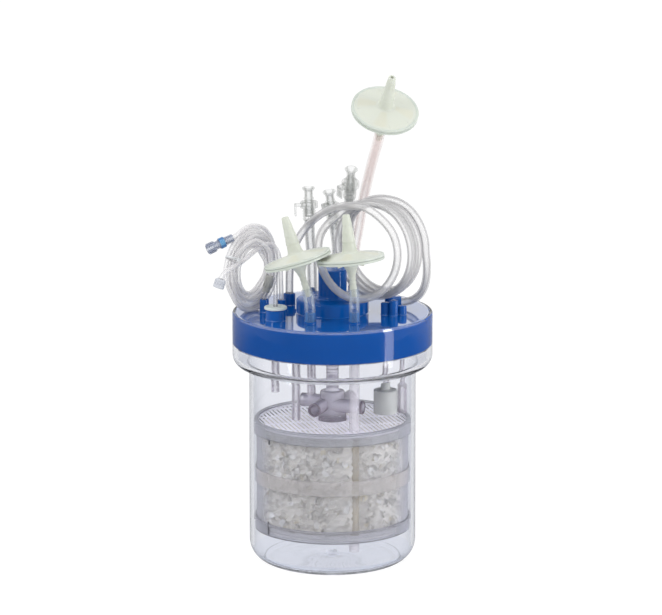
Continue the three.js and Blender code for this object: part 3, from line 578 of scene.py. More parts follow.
def fine_coil_route():
    """The fine line's turns, two side by side and four deep, with its way in over the coil's face.

    Strand k winds at place k and moves on to place k + 1 once strand k + 1 has left it, so each
    strand moves 46 degrees later than the one wound after it.
    """
    turn_in = np.array([82.0, 68.0, 54.0, 41.0, 28.0])
    radius_in = np.array([31.6, 32.9, 33.4, 33.7, 33.95])
    offset_in = np.array([9.4, 8.2, 6.6, 4.6, 2.9])
    start, end = 18, -2370
    turn = np.linspace(start, end, 340)
    gone = (start - turn) / 360
    strand = np.floor(gone).astype(int)
    move = eased(((gone - strand) * 360 - 283 + 46 * strand) / 50)
    side = np.array([1, 1, 1, -1, -1, -1, -1, 1])
    layer = np.array([2, 1, 0, 0, 1, 2, 3, 3])
    beside = side[strand] + (side[strand + 1] - side[strand]) * move
    deep = layer[strand] + (layer[strand + 1] - layer[strand]) * move
    loose = 1 + 0.04 * (1 - np.cos(np.radians(turn - 28)))
    radius = 24.3 + 4.9 * deep * loose
    parts = [
        (turn_in, radius_in, offset_in), (turn, radius, 2.45 * beside),
        (np.array([135.0, 115.0]), np.array([41.6, 43.8]), np.array([2.3, 1.4])),
    ]
    return np.vstack([in_ring(FINE_CENTRE, FINE_FACING, *part) for part in parts])


# ---- stage
def colour_choice(name, description, shade):
    """A colour that a user can change."""
    return bpy.props.FloatVectorProperty(
        name=name, description=description, default=shade, size=4, subtype="COLOR"
    )


class BIOREACTOR_PG_stage(bpy.types.PropertyGroup):
    aim_height: bpy.props.FloatProperty(
        name="Aim height", description="Height that the camera is set out from", default=0.125, unit="LENGTH"
    )
    distance: bpy.props.FloatProperty(
        name="Distance", description="Camera's distance from that point", default=4.5, unit="LENGTH"
    )
    pitch: bpy.props.FloatProperty(
        name="Pitch", description="How far the view looks down", default=math.radians(14.2), subtype="ANGLE"
    )
    lens: bpy.props.FloatProperty(name="Lens", description="Focal length in mm", default=244.7)
    room_level: bpy.props.FloatProperty(
        name="Room level", description="Strength of the room's even light", default=0.8
    )
    near_level: bpy.props.FloatProperty(
        name="Near side level", description="How bright the room's near side is in reflections", default=0.3
    )


class BIOREACTOR_OT_stage(bpy.types.Operator):
    """Sets the camera, the even room light, the lamps and the pale floor"""

    bl_idname = "bioreactor.stage"
    bl_label = "Stage"

    def execute(self, context):
        sizes = context.scene.bioreactor_stage
        self.camera(context, sizes)
        self.room(context, sizes)
        self.lamps()
        self.floor()
        context.scene.view_settings.view_transform = "Standard"
        self.let_light_through(context.scene.cycles)
        return {"FINISHED"}

    def let_light_through(self, cycles):
        """Enough bounces for light to cross the thick clear walls and the layers of clear tubing."""
        cycles.max_bounces = 24
        cycles.glossy_bounces = 8
        cycles.transmission_bounces = 24
        cycles.transparent_max_bounces = 48

    def camera(self, context, sizes):
        data = bpy.data.cameras.new("camera")
        data.lens = sizes.lens
        data.sensor_width = 36
        data.clip_end = 50
        camera = put("camera", data)
        look = Vector((0, math.cos(sizes.pitch), -math.sin(sizes.pitch)))
        camera.location = Vector((0, 0, sizes.aim_height)) - look * sizes.distance
        camera.rotation_euler = (math.pi / 2 - sizes.pitch + LOOK_UP, 0, LOOK_LEFT)
        context.scene.camera = camera

    def room(self, context, sizes):
        """White where it is seen or mirrored from behind the object, and dimmer on the near side."""
        world = bpy.data.worlds.new("room")
        f = Finish(world, "ShaderNodeOutputWorld")
        seen = f.seen()
        toward_far = f.node("ShaderNodeSeparateXYZ", None, {0: f.node("ShaderNodeTexCoord")}, out=1)
        far = (toward_far * 1.4 + 0.9).clamped()
        mirror_level = far * (1 - sizes.near_level) + sizes.near_level
        even = sizes.room_level
        level = (f.path_is("Glossy") * (mirror_level - even) + even).math("MAXIMUM", seen)
        tint = f.blend(seen, (0.985, 0.99, 1.0, 1), (1, 1, 1, 1))
        f.shows(f.node("ShaderNodeBackground", None, {0: tint, 1: level}))
        context.scene.world = world

    def lamps(self):
        """A tall soft box at the right, a high one at the left and a wide panel above."""
        for name, place, aim, width, height, power in LAMPS:
            data = bpy.data.lights.new(name, "AREA")
            data.shape = "RECTANGLE"
            data.size, data.size_y = width, height
            data.energy = power
            lamp = put(name, data)
            lamp.location = place
            lamp.rotation_euler = (Vector(aim) - Vector(place)).to_track_quat("-Z", "Y").to_euler()

    def floor(self):
        """White floor that keeps the object's shadow, and is dim in reflections on the near side."""
        mesh = bpy.data.meshes.new("floor")
        reach = 8.0
        corners = [(-reach, -reach, 0), (reach, -reach, 0), (reach, reach, 0), (-reach, reach, 0)]
        mesh.from_pydata(corners, [], [(0, 1, 2, 3)])
        plane = put("floor", mesh)
        plane.location.z = -0.0002
        f = Finish("floor_white")
        mirrored = f.path_is("Glossy")
        x, y, z = f.axes()
        far = (y * 0.8 - 0.25).clamped()
        shade = f.blend(mirrored, (0.9, 0.9, 0.9, 1), (0.3, 0.3, 0.31, 1))
        lit = f.node("ShaderNodeBsdfDiffuse", None, {"Color": shade})
        glow = f.node("ShaderNodeEmission", None, {"Color": (1, 1, 1, 1), "Strength": 1.08})
        share = f.seen().math("MAXIMUM", mirrored * far) * 0.84
        mesh.materials.append(f.shows(f.mixed(share, lit, glow)))


# How far the view's middle lies above and beside the point that the camera is set out from
LOOK_UP = math.radians(1.648)
LOOK_LEFT = math.radians(0.019)
LAMPS = (  # name, place, aim, width, height, power
    ("right_box", (0.76, -0.37, 0.43), (0.0, 0.0, 0.43), 0.17, 0.86, 3.0),
    ("left_box", (-0.9, -0.9, 1.05), (0.0, 0.0, 0.25), 0.5, 0.6, 6.0),
    ("top_panel", (0.1, -0.3, 1.7), (0.0, 0.0, 0.2), 1.2, 0.9, 4.0),
)


# ---- lines
class BIOREACTOR_PG_lines(bpy.types.PropertyGroup):
    fine_radius: bpy.props.FloatProperty(
        name="Fine line radius", description="Outer radius in mm of the fine line", default=FINE_RADIUS
    )
    line_radius: bpy.props.FloatProperty(
        name="Large line radius", description="Outer radius in mm of the large line", default=LINE_RADIUS
    )
    body_colour: colour_choice("Tubing", "Colour of the clear tubing", tone(250, 249, 248))
    rim_colour: colour_choice("Tubing edge", "Its colour where the wall is seen edge on", tone(168, 166, 168))


class BIOREACTOR_OT_lines(bpy.types.Operator):
    """Lays the fine line and the large line in their coils, and the short branch line"""

    bl_idname = "bioreactor.lines"
    bl_label = "Lines"

    def execute(self, context):
        sizes = context.scene.bioreactor_lines
        core, edge = sizes.body_colour, sizes.rim_colour
        fine = clear_tube("fine_tubing", core, scaled(edge, 1.85), 0.28, 0.7)
        large = clear_tube("large_tubing", core, edge, 0.3, 0.8)
        fine_route = np.vstack([FINE_LEAD, fine_coil_route(), FINE_TAIL])
        large_route = np.vstack([LINE_LEAD, line_coil_route(), LINE_TAIL])
        nodes = ("fine_coil", "fine_coil_lead", "fine_coil_tail")
        self.cord(
            "fine_line", fine_route, sizes.fine_radius, 12, fine, nodes, leaves=(-61.1, -2, 290.2), length=1.48,
            far_end="fitting", lay="coiled", with_pieces=[luer_fitting(), coil_tie()],
        )
        self.cord(
            "branch_tube", BRANCH, sizes.fine_radius, 14, fine, ("branch_line",), leaves=(-51, 12, 263),
            length=0.153, far_end="fitting", lay="loose", with_pieces=[branch_end_cap()],
        )
        nodes = ("line_coil", "line_coil_lead", "line_coil_tail")
        self.cord(
            "large_line", large_route, sizes.line_radius, 20, large, nodes, leaves=(-43, 31, 265.5), length=1.48,
            far_end="object", lay="coiled", with_pieces=(),
        )
        return {"FINISHED"}

    def cord(self, name, route, radius, sides, tubing, nodes, leaves, length, far_end, lay, with_pieces):
        route = smooth_path(route, 1.6)
        thing = piece(name, sweep(route, radius, sides), tubing, nodes)


def luer_fitting():
    """Clear twist fitting with a soft blue ring and grip ribs, on the end of the fine line."""
    start, axis = FINE_TAIL[-1], (-25, -8, -10.4)
    clear = clear_tube("luer_clear", tone(214, 222, 238), tone(84, 94, 126), 0.26, 0.8, 0.05)
    sleeve = [(2.5, -6), (4.0, -6), (4.2, 2), (5.0, 3), (5.0, 9), (4.1, 10), (4.1, 13), (5.3, 13.6)]
    sleeve += [(5.3, 21.3), (4.8, 22.3), (3.7, 22.3), (3.7, 15), (2.5, 14), (2.5, -6)]
    ribs = [turn_z(slab((0.9, 0.7, 7), (5.2, 0, 18)), 36 * i) for i in range(10)]
    shape = stand(joined([revolve(rounded(sleeve, 0.4), 40), *ribs]), start, axis)
    thing = piece("luer_body", shape, clear, "luer_fitting")
    ring = stand(ring_of(5.5, 4.9, 3.4, 8.6, 0.5, 40), start, axis)
    blue = clear_tube("luer_ring_blue", tone(120, 182, 226), tone(48, 98, 164), 0.7, 0.92)
    piece("luer_ring", ring, blue)
    return thing


def branch_end_cap():
    """White ribbed cap on the end of the branch line."""
    start = BRANCH[-1]
    white = moulded("end_cap_white", tone(196, 199, 206), 0.25, 0.03)
    cap = [(0, -2.2), (5.6, -2.2), (5.6, 0.4), (4.9, 1.2), (4.9, 5.6), (3.9, 6.8), (2.5, 6.8), (2.5, 0), (0, 0)]
    ribs = [turn_z(slab((0.8, 0.9, 4.6), (5.0, 0, 3.3), 0.3), 30 * i) for i in range(12)]
    shape = stand(joined([revolve(rounded(cap, 0.35), 36), *ribs]), start, (3.6, 0.3, 10.4))
    return piece("branch_end_cap", shape, white, "branch_cap")


def coil_tie():
    """Thin clear strap drawn round the fine coil, with its small head.

    Its loop is (sign c |c|^0.72 wide, sign s |s|^0.72 deep) for c, s = cos t, sin t.
    """
    middle = in_ring(FINE_CENTRE, FINE_FACING, np.array([28.0]), 31.7, np.array([0.0]))[0]
    facing = math.radians(FINE_FACING)
    axis = np.array([math.cos(facing), math.sin(facing), 0])
    out = middle - np.array(FINE_CENTRE)
    out /= np.linalg.norm(out)
    t = np.linspace(0, 2 * math.pi, 48, endpoint=False)
    wide, deep = 5.7, 10.7
    loop = np.stack([np.cos(t) * wide, np.sin(t) * deep], axis=-1)
    loop = np.sign(loop) * np.abs(loop / [wide, deep]) ** 0.72 * [wide, deep]
    along_ring = np.cross(axis, out)
    rows = []
    for across, lift in ((-1.2, 0.0), (-1.0, 0.45), (1.0, 0.45), (1.2, 0.0), (1.0, -0.3), (-1.0, -0.3)):
        grown = loop * (1 + lift / 8)
        rows.append(middle + grown[:, :1] * axis + grown[:, 1:] * out + across * along_ring)
    band = np.concatenate(rows), grid_faces(6, len(t), close_rows=True)
    head = slab((3.2, 3.2, 4.4), (0, 0, 0), 0.6)
    head = stand(head, middle + axis * 6.6 + out * 2.0, along_ring)
    clear = moulded("tie_clear", tone(214, 216, 218), 0.35, 0.03)
    return piece("coil_strap", joined([band, head]), clear, "fine_coil_tie")


# ---- vessel
def arc(centre_r, centre_z, radius, start, end, steps=10):
    """Points centre + radius (cos a, sin a) from one angle to another, in degrees."""
    a = np.radians(np.linspace(start, end, steps + 1))
    return list(zip(centre_r + radius * np.cos(a), centre_z + radius * np.sin(a)))


class BIOREACTOR_PG_vessel(bpy.types.PropertyGroup):
    colour: colour_choice("Plastic", "Tint of the clear vessel", tone(245, 246, 250))
    roughness: bpy.props.FloatProperty(name="Roughness", description="Of the clear walls", default=0.02)


class BIOREACTOR_OT_vessel(bpy.types.Operator):
    """Turns the clear vessel with its rounded foot and stepped collar"""

    bl_idname = "bioreactor.vessel"
    bl_label = "Vessel"

    def execute(self, context):
        sizes = context.scene.bioreactor_vessel
        outside = [(0, 2.5), (20, 2.1), (38, 1.0), (48, 0.0), (52, 0.0)]
        outside += arc(61, 22, 22, -90, 0, 14)
        outside += [(83, 120)]
        outside += arc(88, 195, 5, 180, 90, 5)
        outside += arc(88, 211.5, 11.5, -90, 0, 8)[1:]
        outside += [(99.5, 252.8), (99.15, 253.65), (98.3, 254)]
        inside = [(96.5, 254), (96.5, 221), (94.5, 221)]
        inside += arc(88, 211.5, 6.5, 0, -90, 6)
        inside += arc(88, 196, 9, 90, 180, 6)[1:]
        inside += [(79, 120)]
        inside += arc(67, 16, 12, 0, -90, 10) + [(66.2, 4.6), (65.2, 4.7), (64.2, 4.1)]
        inside += [(48, 4.0), (28, 5.6), (6.4, 6.4), (5.0, 6.9), (4.3, 7.9), (3.4, 9.1), (2.2, 9.5), (0, 9.5)]
        shape = revolve(outside + inside, 160)
        piece("vessel_shell", shape, self.clear_wall(sizes), "vessel", sharp=50)
        return {"FINISHED"}

    def clear_wall(self, sizes):
        """Clear wall with a grey tint at its edges and foot, painted shade in a dark ring along the floor's
        inner crease, and a matt inner ledge.
        """
        f = Finish("vessel_clear")
        normal = f.bump(f.noise(14, 1), 0.0006, 0.12)
        turned = f.facing()
        x, y, z = f.axes()
        out = (x * x + y * y) ** 0.5
        # Painted shade: a dark ring where the floor curves up inside, in its crease.
        crease_shade = out.peak(0.0675, 900) * z.between(0.0035, 0.0075)
        ledge = z.between(0.1985, 0.2045) * out.above(0.0835)
        tint = f.blend((turned * 1.8 - 0.8).clamped(), sizes.colour, tone(188, 193, 202))
        tint = f.blend(z.below(0.012) * 0.6, tint, tone(226, 230, 240))
        tint = f.blend(crease_shade * 0.75, tint, tone(112, 116, 128))
        glass = f.principled(
            base_color=tint, roughness=ledge * 0.55 + z.below(0.0035) * 0.15 + sizes.roughness, ior=1.16,
            transmission_weight=1.0, normal=normal, coat_weight=(1 - turned * 1.3).clamped() * 0.5,
            coat_ior=1.5, coat_roughness=0.03,
        )
        return f.shows(f.mixed(f.path_is("Shadow"), glass, f.clear((0.93, 0.935, 0.945, 1))))


# ---- head plate
class BIOREACTOR_PG_head_plate(bpy.types.PropertyGroup):
    blue: colour_choice("Blue", "Colour of the moulded plate", tone(4, 70, 144))
    gloss: bpy.props.FloatProperty(name="Roughness", description="Of the polished plate", default=0.14)


class BIOREACTOR_OT_head_plate(bpy.types.Operator):
    """Turns the blue head plate with its drum, tower, posts, nozzles and bosses"""

    bl_idname = "bioreactor.head_plate"
    bl_label = "Head plate"

    def execute(self, context):
        sizes = context.scene.bioreactor_head_plate
        parts = [self.shell()]
        parts += [self.post(*port) for port in PORTS.values()]
        parts += [self.nozzle(*spout) for spout in NOZZLES.values()]
        parts += [self.boss(*boss) for boss in BOSSES]
        parts += [self.side_port()]
        finish = self.polished_blue(sizes)
        piece("cover_plate", joined(parts), finish, "head_plate", sharp=40)
        return {"FINISHED"}

    def shell(self):
        profile = [(11.2, 241), (11.2, 294.5), (0, 294.5), (0, 297.5), (13.4, 297.5), (14.2, 296.7)]
        profile += [(14.2, 272.5)] + arc(17.6, 270.9, 3.4, 180, 270, 5)
        profile += [(34.3, 267.5), (35.4, 267.0), (36, 265.8), (36, 255.2), (36.4, 254.4), (37.2, 254)]
        profile += [(38, 254), (93.9, 254)] + arc(94.1, 251.5, 2.5, 90, 0, 8)
        profile += [(96.6, 222.2), (95.4, 221.3), (92.4, 221.3), (91.7, 222), (91.7, 249), (32, 249)]
        profile += [(32, 263.5), (15.2, 263.5), (15.2, 241.8), (14.6, 241), (11.2, 241)]
        return revolve(profile, 144)

    def post(self, x, y, radius, height, bore):
        """A post with a rounded top edge, a small root fillet, and a socket where it has a bore."""
        top = DECK + height
        profile = [(0, DECK - 2), (radius + 0.9, DECK - 0.1), (radius + 0.3, DECK + 0.3), (radius, DECK + 1.1)]
        profile += [(radius, top - 1.0), (radius - 0.3, top - 0.3), (radius - 1.0, top)]
        profile += [(bore, top), (bore, DECK + 0.3), (0, DECK + 0.3)] if bore else [(0, top)]
        return shift(revolve(profile, 40), x, y)

    def nozzle(self, x, y, radius):
        """A barbed nozzle, hollow, on a round foot."""
        top = DECK + NOZZLE_HEIGHT
        root, neck, bore, foot = radius + 0.5, radius - 0.6, radius - 1.6, radius + 2.2
        profile = [
            (0, DECK - 2), (foot, DECK - 2), (foot, DECK + 1.1), (radius + 1.8, DECK + 1.5),
            (root, DECK + 1.5), (root, top - 4.6), (neck, top - 4.2), (radius + 0.3, top - 2.6),
            (neck - 0.4, top), (bore, top), (bore, DECK), (0, DECK),
        ]
        return shift(revolve(profile, 28), x, y)

    def boss(self, x, y, radius):
        """A socket under the plate for a dip tube."""
        bore, wall = radius + 0.3, radius + 2.4
        profile = [(0, 245), (bore, 245), (bore, 235.4), (radius + 2.0, 235), (wall, 235.4)]
        profile += [(wall, 250), (0, 250)]
        return shift(revolve(profile, 32), x, y)

    def side_port(self):
        profile = [(0, 0), (5.9, 0), (5.9, 10.0), (5.5, 10.5), (4.5, 10.5), (4.5, 1.5), (0, 1.5)]
        return stand(revolve(profile, 32), (58, 14, 260), (1, 0, 0))

    def polished_blue(self, sizes):
        """Polished blue, with a mirror coat on the flat deck and a thin bright line along its edge."""
        f = Finish("plate_blue_polish")
        cloud = f.noise(26, 3)
        fine = f.noise(1400, 2)
        x, y, z = f.axes()
        # A small round darker spot on the deck, towards the right.
        dark_spot = ((x - 0.0845) ** 2 + (y - 0.006) ** 2).below(0.0014**2)
        on_deck = z.above(0.2535)
        shade = f.blend(cloud * 0.8, sizes.blue, scaled(sizes.blue, 0.86))
        # Above the deck the blue is brighter: partly the mouldings' own hue, partly painted light that makes up
        # for the shade on the posts and drum.
        shade = f.blend(on_deck * 0.8, shade, tone(8, 88, 170))
        shade = f.blend(dark_spot * on_deck * 0.8, shade, tone(16, 30, 60))
        mirror = (((f.facing() - 0.4) * 3.0).clamped() * 0.65 + 0.3) * (on_deck * z.below(0.2546))
        coat = mirror + on_deck * 0.14 + z.between(0.2514, 0.2538) * 0.85
        return f.shows(f.principled(
            base_color=shade, roughness=fine * 0.06 + (sizes.gloss - 0.03), ior=1.15,
            normal=f.bump(fine, 0.00002, 0.2), coat_weight=coat, coat_roughness=0.03, coat_ior=2.6,
        ))


BOSSES = (  # x, y, radius of the tube
    (*CAP_PLACE, 4.0), (-36, -25, 4.3), (-22, -55, 2.9), (-20, 45, 3.2), (*HARVEST_PLACE, 5.0),
    (52.5, -15, 3.0), (69, -15, 2.4),
)


# ---- on the deck
class BIOREACTOR_PG_deck_parts(bpy.types.PropertyGroup):
    cap_colour: colour_choice("Port cap", "Colour of the port's soft cap", tone(206, 214, 212))
    connector_colour: colour_choice("Connector", "Colour of the tapered connector", tone(160, 160, 156))


class BIOREACTOR_OT_deck_parts(bpy.types.Operator):
    """Sets the port cap with its sealed tube, the riser tube and the tapered connector on the deck"""

    bl_idname = "bioreactor.deck_parts"
    bl_label = "Deck parts"

    def execute(self, context):
        sizes = context.scene.bioreactor_deck_parts
        tubing = clear_tube("short_tubing", tone(244, 244, 246), tone(140, 140, 152), 0.1, 0.6)
        self.port_cap(sizes)
        self.sealed_tube(tubing)
        self.riser(tubing)
        self.connector(sizes)
        return {"FINISHED"}

    def port_cap(self, sizes):
        seat = DECK + 10.8
        high = seat + 2.6
        profile = [
            (2.7, seat - 6), (4.9, seat - 6), (4.9, seat), (11.2, seat), (11.2, seat + 1.8), (10.4, high),
            (7.5, high), (7.0, seat + 2.0), (5.2, seat + 2.0), (4.7, high), (2.7, high), (2.7, seat - 6),
        ]
        white = moulded("port_cap_white", sizes.cap_colour, 0.42, 0.04)
        shape = shift(revolve(rounded(profile, 0.3), 56), *CAP_PLACE)
        piece("port_cap_disc", shape, white, "port_cap")

    def sealed_tube(self, tubing):
        low, high = frame_height("stem_tube")
        profile = [(1.4, low), (2.4, low), (2.4, high - 2.4), (2.2, high - 1.0), (1.3, high - 0.1), (0, high)]
        profile += [(0, high - 4), (1.4, high - 4), (1.4, low)]
        piece("sealed_stem", shift(revolve(profile, 24), *CAP_PLACE), tubing, "stem_tube")

    def riser(self, tubing):
        foot = PORTS["riser"][:2]
        points = [(*foot, DECK + 0.3), (*foot, DECK + 11)]
        points += [along(CONNECTOR_FOOT, CONNECTOR_AXIS, d) for d in (-5, 0, 4.7)]
        shape = sweep(smooth_path(points, 1.2), 2.4, 18, 1.5)
        piece("riser_hose", shape, tubing, "riser_tube")

    def connector(self, sizes):
        profile = [(2.7, 0), (3.6, 0), (3.6, 4), (3.9, 4.6), (5.1, 13), (5.1, 16.4), (4.8, 17), (2.7, 17)]
        profile += [(2.7, 11), (1.4, 11), (1.4, 5), (2.7, 5), (2.7, 0)]
        ribs = [turn_z(slab((0.7, 0.8, 8.5), (4.5, 0, 9.4), 0.3), 40 * i) for i in range(9)]
        shape = stand(joined([revolve(rounded(profile, 0.3), 40), *ribs]), CONNECTOR_FOOT, CONNECTOR_AXIS)
        grey = moulded("connector_grey", tuple(sizes.connector_colour), 0.3, 0.04)
        piece("tapered_adapter", shape, grey, "tapered_connector")


def frame_height(node):
    """Lowest and highest point of a node, in millimetres."""
    low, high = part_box(node)
    return low[2] / MM, high[2] / MM


# ---- under the head plate
class BIOREACTOR_PG_dip_tubes(bpy.types.PropertyGroup):
    clear_colour: colour_choice("Dip tubes", "Colour of the rigid dip tubes", tone(238, 233, 236))
    sinter_colour: colour_choice("Sintered filter", "Colour of the sample filter", tone(204, 205, 201))


class BIOREACTOR_OT_dip_tubes(bpy.types.Operator):
    """Hangs the dip tubes, the probe sleeve and the sintered sample filter under the plate"""

    bl_idname = "bioreactor.dip_tubes"
    bl_label = "Dip tubes"

    def execute(self, context):
        sizes = context.scene.bioreactor_dip_tubes
        rigid = clear_tube("dip_clear_wall", sizes.clear_colour, tone(134, 124, 140), 0.16, 0.62)
        stained = self.stained(sizes)
        for name, x, y, radius, bore, foot in DIP_TUBES:
            shape = shift(ring_of(radius, bore, foot, DIP_TOP, 0.4, 36), x, y)
            made = name.replace("_tube", "_pipe").replace("hanger", "stem")
            piece(made, shape, stained if name == "harvest_tube" else rigid, name)
        self.sleeve(rigid)
        self.sample_filter(sizes)
        return {"FINISHED"}

    def stained(self, sizes):
        """The harvest tube's finish: clear above and below the bed, and yellowish in patches in it.

        Where the bed's top and the middle ring veil it, it is fainter.
        """
        f = Finish("harvest_clear_wall")
        x, y, z = f.axes()
        patch = f.noise(90, 3)
        in_bed = z.below(0.1415) * ((z - 0.036) * 600).clamped()
        veils = ((0.1 - abs(z - 0.137) * 10).clamped() + (0.1 - abs(z - 0.09) * 12).clamped()) * 8
        wall = (f.facing() ** 1.6 + patch * 0.1).clamped()
        shade = f.blend(wall, sizes.clear_colour, tone(150, 144, 156))
        shade = f.blend((in_bed * (patch * 0.6 + 0.6)).clamped(), shade, tone(206, 193, 158))
        skin = f.principled(base_color=shade, roughness=patch * 0.1 + 0.06, ior=1.45)
        cover = (wall * 0.35 + in_bed * (0.5 - veils * 0.3) + 0.2).clamped()
        return f.shows_over(cover, CLEAR_TINT, skin)

    def sleeve(self, rigid):
        profile = [(0, 154), (3.2, 154), (4.3, 154.4), (4.7, 155.2), (4.7, 183), (3.2, 184.4), (2.4, 185.4)]
        profile += [(2.4, DIP_TOP), (1.2, DIP_TOP), (1.2, 183), (3.5, 181), (3.5, 155.5), (0, 155.5)]
        piece("probe_well", shift(revolve(profile, 40), 69, -15), rigid, "probe_sleeve")

    def sample_filter(self, sizes):
        """Sintered plastic, grainy and a little see-through."""
        profile = [(0, 154), (11.1, 154), (11.7, 154.6), (11.7, 177.2), (11.0, 178), (4.7, 178), (4.7, 187)]
        profile += [(3.3, 187), (3.3, 180.7), (0, 180.7)]
        f = Finish("sinter_porous")
        grain = f.noise(1500, 4, 0.7)
        mottle = (grain * 0.7 + f.noise(90, 2) * 0.4).clamped()
        shade = f.blend(mottle, sizes.sinter_colour, scaled(sizes.sinter_colour, 0.78))
        solid = f.principled(base_color=shade, roughness=0.75, normal=f.bump(grain, 0.0004, 0.6))
        shape = shift(revolve(rounded(profile, 0.5), 56), 52.5, -15)
        piece("sintered_sleeve", shape, f.shows(f.mixed(0.86, f.clear(), solid)), "sample_filter")


DIP_TUBES = (  # node, x, y, radius, bore, foot
    ("feed_tube", *CAP_PLACE, 4.0, 2.8, 181),
    ("sampling_tube", -36, -25, 4.3, 3.0, 149.5),
    ("overlay_tube", -22, -55, 2.9, 1.9, 182),
    ("return_tube", -20, 45, 3.2, 2.2, 158),
    ("harvest_tube", *HARVEST_PLACE, 5.0, 3.6, 22),
    ("filter_hanger", 52.5, -15, 3.0, 1.8, 181),
)


# ---- drive
class BIOREACTOR_PG_drive(bpy.types.PropertyGroup):
    smoke: colour_choice("Smoky plastic", "Colour of the impeller and its coupling", tone(240, 236, 243))


class BIOREACTOR_OT_drive(bpy.types.Operator):
    """Turns the impeller, its ribbed coupling, the draft tube, the shaft, the magnet and the bush"""

    bl_idname = "bioreactor.drive"
    bl_label = "Drive"

    def execute(self, context):
        smoke = self.smoky(context.scene.bioreactor_drive.smoke)
        self.impeller(smoke)
        self.coupling(smoke)
        shape = ring_of(14, 12, *frame_height("draft_tube"), 0.5, 64)
        piece("draft_pipe", shape, smoke, "draft_tube", "rotor")
        self.metal_parts()
        return {"FINISHED"}

    def smoky(self, colour):
        """Smoke-tinted plastic with dark outlines, darkest on the lips of the hollow arms, and painted shade low
        on the hub under the arms.
        """
        f = Finish("impeller_smoke")
        x, y, z = f.axes()
        cloud = f.noise(110, 3)
        lip = (x * x + y * y).above(0.0342**2) * z.between(0.15, 0.17)
        outline = f.ramp(f.facing(), [(0.1, grey(0.0)), (0.45, grey(0.2)), (0.85, grey(1.0))])
        shade = f.blend((outline + cloud * 0.15).clamped(), colour, tone(110, 94, 112))
        shade = f.blend(lip * 0.8, shade, tone(70, 46, 66))
        # Painted shade: darker towards the hub's bottom, under the arms.
        shade = f.blend(((0.153 - z) * 140).clamped() * 0.6, shade, tone(98, 86, 104))
        skin = f.principled(base_color=shade, roughness=cloud * 0.06 + 0.04, ior=1.5)
        cover = (outline * 0.62 + lip * 0.5 + 0.34).clamped()
        return f.shows_over(cover, (0.97, 0.96, 0.98, 1), skin)

    def impeller(self, smoke):
        """A hollow hub with four hollow arms that start beside its axis."""
        profile = [
            (0, 139), (11.7, 139), (11.7, 147), (14, 147), (13.6, 150), (12.5, 153), (12.5, 171.5),
            (11.6, 173.4), (10.0, 174), (7.5, 174), (6.8, 175), (6.3, 178), (3.4, 178), (3.4, 187), (0, 187),
        ]
        arms, bores = [], [rod_of(9.5, 130, 170, 0.3, 48)]
        for i in range(4):
            a = math.radians(250 + 90 * i)
            way = (math.cos(a), math.sin(a), 0)
            root = (6.5 * way[1], -6.5 * way[0], 160)
            arms.append(stand(rod_of(6.8, 0, 35, 0.6, 40), root, way))
            bores.append(stand(rod_of(5.2, 0, 36, 0.2, 40), root, way))
        shape = carved(revolve(profile, 56), arms, bores)
        piece("impeller_body", shape, smoke, "impeller", "rotor", sharp=35)

    def coupling(self, smoke):
        """The joint sleeve with its nine ribs."""
        profile = [(3.7, 178.3), (5.3, 178.3)]
        for i in range(9):
            low = 179.6 + i * 3.4
            profile += [(6.3, low), (6.3, low + 1.9), (5.2, low + 2.4), (5.2, low + 3.2)]
        profile += [(6.3, 211.5), (6.3, 234.2), (5.8, 235), (4.3, 235), (4.3, 222.7), (0, 222.7), (0, 188.3)]
        profile += [(3.7, 188.3), (3.7, 178.3)]
        piece("ribbed_sleeve", revolve(profile, 44), smoke, "shaft_coupling", "rotor")

    def metal_parts(self):
        """The turned shaft, the magnet in its case, and the flanged bush."""
        f = Finish("shaft_steel")
        x, y, z = f.axes()
        gloss = f.rings(z, 9000.0) * 0.16 + 0.2
        steel = f.shows(f.principled(base_color=tone(190, 190, 194), metallic=1.0, roughness=gloss))
        low, high = frame_height("drive_shaft")
        piece("steel_shaft", rod_of(4, low, high, 0.4, 36), steel, "drive_shaft", "rotor")
        case = moulded("magnet_case_dark", tone(58, 60, 66), 0.35, 0.04)
        low, high = frame_height("magnet_hub")
        profile = [(4.3, low), (9.4, low), (10.4, low + 1), (10.4, high - 1), (9.4, high), (0, high)]
        profile += [(0, high - 6), (4.3, high - 6), (4.3, low)]
        piece("magnet_case", revolve(rounded(profile, 0.3), 48), case, "magnet_hub", "rotor")
        bush = moulded("bush_pale", tone(206, 204, 196), 0.45, 0.05)
        profile = [(4.3, 238.7), (14.2, 238.7), (14.2, 240.7), (10.9, 240.7), (10.9, 249.7), (4.3, 249.7)]
        profile += [(4.3, 238.7)]
        piece("flanged_bush", revolve(rounded(profile, 0.3), 48), bush, "shaft_bearing")


def carved(base, add, cut):
    """Joins shapes to a base and cuts others from it with exact booleans."""

    def thing_of(shape, name):
        mesh = bpy.data.meshes.new(name)
        mesh.from_pydata(shape[0].tolist(), [], shape[1])
        close_up(mesh, 1e-3)
        return put(name, mesh)

    things = [thing_of(base, "block")]
    for operation, shapes in (("UNION", add), ("DIFFERENCE", cut)):
        for shape in shapes:
            things.append(thing_of(shape, "tool"))
            step = things[0].modifiers.new("step", "BOOLEAN")
            step.operation = operation
            step.solver = "EXACT"
            step.object = things[-1]
    seen = things[0].evaluated_get(bpy.context.evaluated_depsgraph_get())
    result = seen.to_mesh()
    points = np.empty(len(result.vertices) * 3)
    result.vertices.foreach_get("co", points)
    faces = [list(polygon.vertices) for polygon in result.polygons]
    seen.to_mesh_clear()
    for made in things:
        mesh = made.data
        bpy.data.objects.remove(made)
        bpy.data.meshes.remove(mesh)
    return points.reshape(-1, 3), faces


# ---- basket
class BIOREACTOR_PG_basket(bpy.types.PropertyGroup):
    wall_colour: colour_choice("Basket", "Colour of the basket's clear plastic", tone(212, 207, 202))
    fibre_colour: colour_choice("Fibre discs", "Colour of the packed fibre discs", tone(247, 244, 235))
    disc_count: bpy.props.IntProperty(
        name="Disc count", description="Number of discs laid in the bed", default=3000
    )


